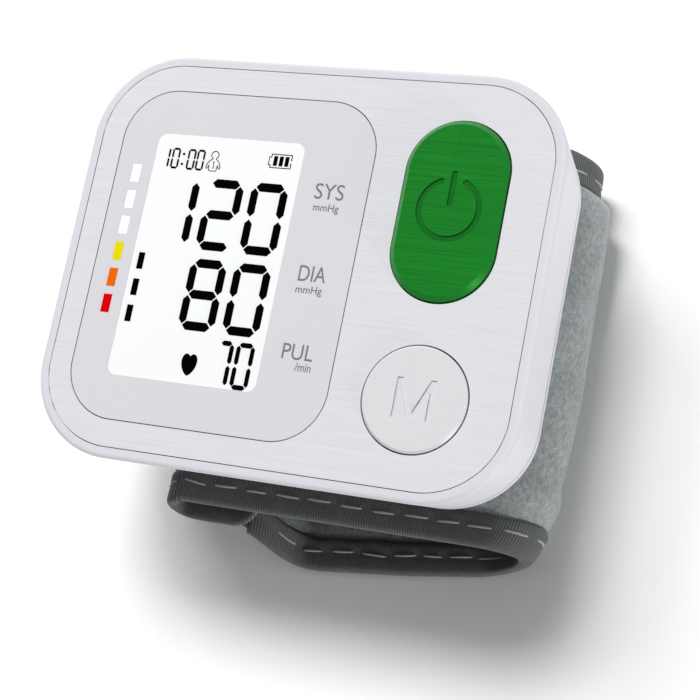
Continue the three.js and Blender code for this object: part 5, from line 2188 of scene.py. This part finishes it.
    def relax(self, piece: Piece, pressure: float) -> None:
        """Let a sheet relax as cloth between its held edges.

        Args:
            piece: The sheet, in its place.
            pressure: Pressure from inside.
        """
        rest = vertices_of(piece.data)
        self.hold(piece)
        work_on(piece)
        cloth = piece.modifiers.new("Relax", "CLOTH")
        for name, value in CLOTH.items():
            setattr(cloth.settings, name, value)
        cloth.settings.uniform_pressure_force = pressure
        cloth.settings.effector_weights.gravity = 0
        cloth.collision_settings.use_collision = False
        cloth.point_cache.frame_start = 1
        cloth.point_cache.frame_end = self.frames
        for number in range(1, self.frames + 1):
            bpy.context.scene.frame_set(number)
        bpy.ops.object.modifier_apply(modifier=cloth.name)
        bpy.context.scene.frame_set(1)
        step = vertices_of(piece.data) - rest
        length = np.linalg.norm(step, axis=1, keepdims=True)
        limit = self.most * MM
        moved = rest + step * limit * np.tanh(length / limit) / np.maximum(length, 1e-12)
        lowest = self.ply * 0.55 * MM
        moved[:, 2] = np.maximum(moved[:, 2], np.minimum(rest[:, 2], lowest))
        piece.data.vertices.foreach_set("co", moved.ravel())
        piece.data.update()
        piece.vertex_groups.clear()

    def tape_profile(self, share: np.ndarray, scale: np.ndarray) -> tuple[np.ndarray, np.ndarray]:
        """Work out the section of the tape folded round an edge.

        Args:
            share: Places across the tape, from its outer rim round the edge to its inner rim.
            scale: Thickness of the edge as a share of the full one.

        Returns:
            Distance inward from the edge, and distance from the strip's middle.
        """
        half, bend = self.shape.bound / 2, self.tape_round
        flat, turn, side = self.tape - bend, QUARTER * bend, 2 * (half - bend)
        way = share * (2 * flat + 2 * turn + side)
        marks = np.cumsum([flat, turn, side, turn])
        parts = [way <= mark for mark in marks]
        down, back = (way - marks[0]) / bend, (way - marks[2]) / bend
        inward = np.select(
            parts,
            [self.tape - way, bend - bend * np.sin(down), 0 * way, bend - bend * np.cos(back)],
            bend + way - marks[3],
        )
        out = np.select(
            parts,
            [half + 0 * way, half - bend + bend * np.cos(down), half - bend - (way - marks[1]),
             bend - half - bend * np.sin(back)],
            -half,
        )
        dent = self.dent * np.exp(-0.5 * ((inward - self.stitch_row) / self.dent_width) ** 2)
        high, wide = self.lip
        lip = high * np.clip((inward - (self.tape - wide)) / wide, 0, 1) ** 2
        return inward, (out - np.sign(out) * (dent + lip)) * scale

    def binding(self, strip: Strip, rim: Rim) -> Piece:
        """Fold a tape round one edge of a strip.

        Args:
            strip: The strip.
            rim: Which edge.

        Returns:
            The tape.
        """
        path, side = strip.path, rim.name.lower()
        wander = np.random.default_rng({Rim.NEAR: 7, Rim.FAR: 11}[rim])
        knots = np.linspace(-5, path.length + 5, 60)
        waves = wander.normal(0, self.wander, 60)

        def rule(s: np.ndarray, share: np.ndarray) -> tuple[np.ndarray, np.ndarray]:
            """Find points of the tape.

            Args:
                s: Places along the strip.
                share: Places across the tape.

            Returns:
                Y and the outward distance of each point.
            """
            inward, out = self.tape_profile(share, path.value("scale", s))
            inward = inward + np.interp(s, knots, waves) * np.clip(inward / self.tape, 0, 1)
            return path.edge(rim, s) + rim.value * inward, out

        reach, width = (0.0, path.length - strip.tape_short), 2 * self.tape + 2
        faces = (strip.tape_faces, 34)
        piece = self.lay(f"{strip.name}_tape_{side}", faces, path, reach, rule, width)
        self.thicken(piece, self.tape_ply, -1)
        nodes = [f"{part}_binding_{side}" for part in strip.parts]
        enter(piece, "binding", Palette.binding, nodes=nodes)
        return piece

    def seam(self, strip: Strip, rim: Rim, ply: Ply) -> list[Piece]:
        """Sew one row of stitches along a tape.

        Args:
            strip: The strip.
            rim: Which edge.
            ply: Outer or inner face of the strip.

        Returns:
            One thread for each stitch.
        """
        path, end = strip.path, strip.path.length - strip.seam_short
        deselect_everything()
        bpy.ops.mesh.primitive_uv_sphere_add(
            segments=8, ring_count=6, radius=1, rotation=(0, QUARTER, 0)
        )
        model = added("stitch")
        wipe_uvs(model)
        flat = vertices_of(model.data)
        ends = np.sign(flat[:, 0]) * np.abs(flat[:, 0]) ** 0.35
        sink = self.dent * np.abs(ends) ** 6
        height = self.shape.bound / 2 - self.dent
        hand = np.random.default_rng({Rim.NEAR: 5, Rim.FAR: 3}[rim] + ply.value)
        stitches = []
        at = self.stitch_start
        while at + self.stitch < end:
            twin = copy_of(model, "stitch")
            half = self.stitch / 2 * hand.uniform(*self.uneven)
            s = at + self.stitch / 2 + ends * half
            aside = hand.normal(0, self.wander)
            aside = aside + ends * hand.normal(0, 0.1) + hand.normal(0, 0.05) * ends**2
            row = self.stitch_row + aside + flat[:, 1] * self.thread
            y = path.edge(rim, s) + rim.value * row
            out = height * path.value("scale", s) + self.thread * 0.45 - sink
            points = path.place(s, y, ply.value * out + flat[:, 2] * self.thread) * MM
            points += np.array(self.bench.table)
            twin.data.vertices.foreach_set("co", points.ravel())
            stitches.append(twin)
            at += self.stitch + self.stitch_gap
        bpy.data.objects.remove(model)
        return stitches

    def sew(self, strip: Strip) -> Piece:
        """Sew both tapes of a strip, on both faces.

        Args:
            strip: The strip.

        Returns:
            All its stitches as one piece.
        """
        stitches = [one for rim in Rim for ply in Ply for one in self.seam(strip, rim, ply)]
        piece = joined(f"{strip.name}_seams", stitches)
        with editing(piece):
            face_out()
        bpy.ops.object.shade_smooth()
        enter(piece, "binding", Palette.thread)
        return piece

    def make_strip(self, strip: Strip) -> None:
        """Make one strip: cover, lining, both bound edges and their seams.

        Args:
            strip: The strip.
        """
        path = strip.path
        cover, lining = (self.sheet(sheet, path) for sheet in strip.sheets)
        tapes = [self.binding(strip, rim) for rim in Rim]
        seams = self.sew(strip)
        hinge = self.bench.table + Vector((strip.hinge * MM, 0, 0))
        start, end = ((hinge.x, hinge.y, height * MM) for height in strip.zone)
        for piece in (cover, lining, *tapes, seams):
            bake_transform(piece)
        width = (path.width - 2 * self.edge_clear) * MM
        lined = (path.length - strip.sheets[1].short) * MM
        log.info("strip on the %s: %.1f mm long", strip.body, path.length)

    def make_hook(self, path: Path) -> None:
        """Make the hook patch on the tab.

        Args:
            path: The long strip's way.
        """

        def rule(s: np.ndarray, share: np.ndarray) -> tuple[np.ndarray, np.ndarray]:
            """Return Y and the outward distance of the patch."""
            return path.across(s, share, self.hook_margin), np.full_like(s, -0.5)

        reach = (path.length - self.hook[0], path.length - self.hook[1])
        piece = self.lay("hook_patch_tape", (24, 60), path, reach, rule)
        self.thicken(piece, 0.35)
        enter(piece, "hook", Palette.hook, nodes=["hook_patch"])
        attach(piece, "strap")

    def make_bladder(self) -> None:
        """Make the inflatable bladder inside the top strip."""
        low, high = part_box("bladder")
        middle, size = (low + high) / 2, high - low
        deselect_everything()
        bpy.ops.mesh.primitive_grid_add(
            x_subdivisions=36, y_subdivisions=32, size=1, location=middle
        )
        piece = added("air_bladder", (size.x * 0.99, size.y * 0.99, 1))
        twin = copy_of(piece, "under")
        for mesh, sign in ((piece.data, 1), (twin.data, -1)):
            for vertex in mesh.vertices:
                u = abs(vertex.co.x - middle.x) / (size.x * 0.495)
                v = abs(vertex.co.y - middle.y) / (size.y * 0.495)
                crown = max(0.0, (1 - u**6) * (1 - v**6)) ** 0.6
                vertex.co.z += sign * crown * size.z * 0.47
                drawn = max(0.0, u + v - 1.6) * 0.16
                vertex.co.x -= (vertex.co.x - middle.x) * drawn
                vertex.co.y -= (vertex.co.y - middle.y) * drawn
        piece = joined("air_bladder", [piece, twin])
        with editing(piece):
            face_out(merge=1e-6)
        bpy.ops.object.shade_smooth()
        wipe_uvs(piece)
        enter(piece, "bladder", Palette.bladder, nodes=["bladder"])
        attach(piece, "housing")

    def make(self) -> None:
        """Make the whole cuff."""
        long, flap = self.strips()
        self.make_strip(long)
        self.make_strip(flap)
        self.make_hook(long.path)
        self.make_bladder()


def vertices_of(mesh: bpy.types.Mesh) -> np.ndarray:
    """Read the vertices of a mesh.

    Args:
        mesh: The mesh.

    Returns:
        One row of three coordinates for each vertex.
    """
    rows = np.empty(len(mesh.vertices) * 3)
    mesh.vertices.foreach_get("co", rows)
    return rows.reshape(-1, 3)


# --- Studio ------------------------------------------------------------------


@dataclass(frozen=True)
class Lamp:
    """One soft square light. Metres and watts."""

    name: str
    place: Point
    size: float
    watts: float
    mirrored: bool = False

    def hang(self, target: Point) -> None:
        """Hang the light.

        Args:
            target: What it points at.
        """
        data = bpy.data.lights.new(self.name, "AREA")
        data.energy = self.watts
        data.size = self.size
        light = bpy.data.objects.new(self.name, data)
        bpy.context.scene.collection.objects.link(light)
        light.location = self.place
        light.rotation_mode = "QUATERNION"
        light.rotation_quaternion = (Vector(target) - Vector(self.place)).to_track_quat("-Z", "Y")
        light.visible_glossy = self.mirrored


@dataclass
class Studio:
    """Floor, lights and camera. The eye in millimetres, the rest in metres."""

    bench: Bench
    eye: Point = (112.94, -69.38, 260.00)
    right: Point = (0.92869, 0.19198, -0.31729)
    down: Point = (0.11200, -0.96082, -0.25354)
    ahead: Point = (-0.35354, 0.19992, -0.91381)
    lens: float = 92.44
    sensor: float = 36.0
    sky: float = 0.26
    target: Point = (0.0, 0.0, 0.02)
    floor_level: float = -0.0002
    lamps: tuple[Lamp, ...] = (
        Lamp("key", (-0.3, 1.05, 1.9), 0.6, 32.0),
        Lamp("side", (-0.9, 1.0, 1.7), 0.6, 17.0),
        Lamp("fill", (1.85, -1.4, 0.22), 0.35, 34.0, mirrored=True),
    )

    def make_camera(self) -> None:
        """Set up the camera at the photograph's place."""
        data = bpy.data.cameras.new("camera")
        data.lens = self.lens
        data.sensor_width = self.sensor
        data.clip_start = 0.01
        data.clip_end = 20
        camera = bpy.data.objects.new("camera", data)
        bpy.context.scene.collection.objects.link(camera)
        right, down, ahead = Vector(self.right), Vector(self.down), Vector(self.ahead)
        turn = Matrix((right, -down, -ahead)).transposed().to_4x4()
        camera.matrix_world = Matrix.Translation(self.bench.face + Vector(self.eye) * MM) @ turn
        bpy.context.scene.camera = camera

    def make_floor(self) -> None:
        """Lay the plain pale floor."""
        deselect_everything()
        bpy.ops.mesh.primitive_plane_add(size=8, location=(0, 0, self.floor_level))
        floor = bpy.context.object
        floor.name = "floor"
        board = Board("floor_paint")
        paint = board.blend(board.noise(0.02), (0.9, 0.9, 0.9), (0.92, 0.92, 0.92))
        board.set(Base_Color=paint, Roughness=0.9)
        floor.data.materials.append(board.material)

    def make(self) -> None:
        """Set up floor, world, lights and camera."""
        self.make_floor()
        world = bpy.data.worlds.new("studio")
        world.use_nodes = True
        background = world.node_tree.nodes["Background"]
        background.inputs[0].default_value = (1, 1, 1, 1)
        background.inputs[1].default_value = self.sky
        bpy.context.scene.world = world
        for lamp in self.lamps:
            lamp.hang(self.target)
        self.make_camera()
        bpy.context.scene.view_settings.view_transform = "Standard"
        log.info("studio with %d lights", len(self.lamps))


def main() -> None:
    """Build and dress every piece of the monitor."""
    logging.basicConfig(level=logging.INFO, format="%(name)s: %(message)s")
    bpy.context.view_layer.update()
    bench = Bench()
    keys = Keys(bench)
    display = Display(bench)
    housing = Housing(bench)
    housing.make_front()
    housing.make_rear()
    housing.make_lid()
    housing.make_plate(keys, display)
    keys.make()
    display.make()
    InnerWorks().make()
    Cuff(bench).make()
    Studio(bench).make()


if __name__ == "__main__":
    main()
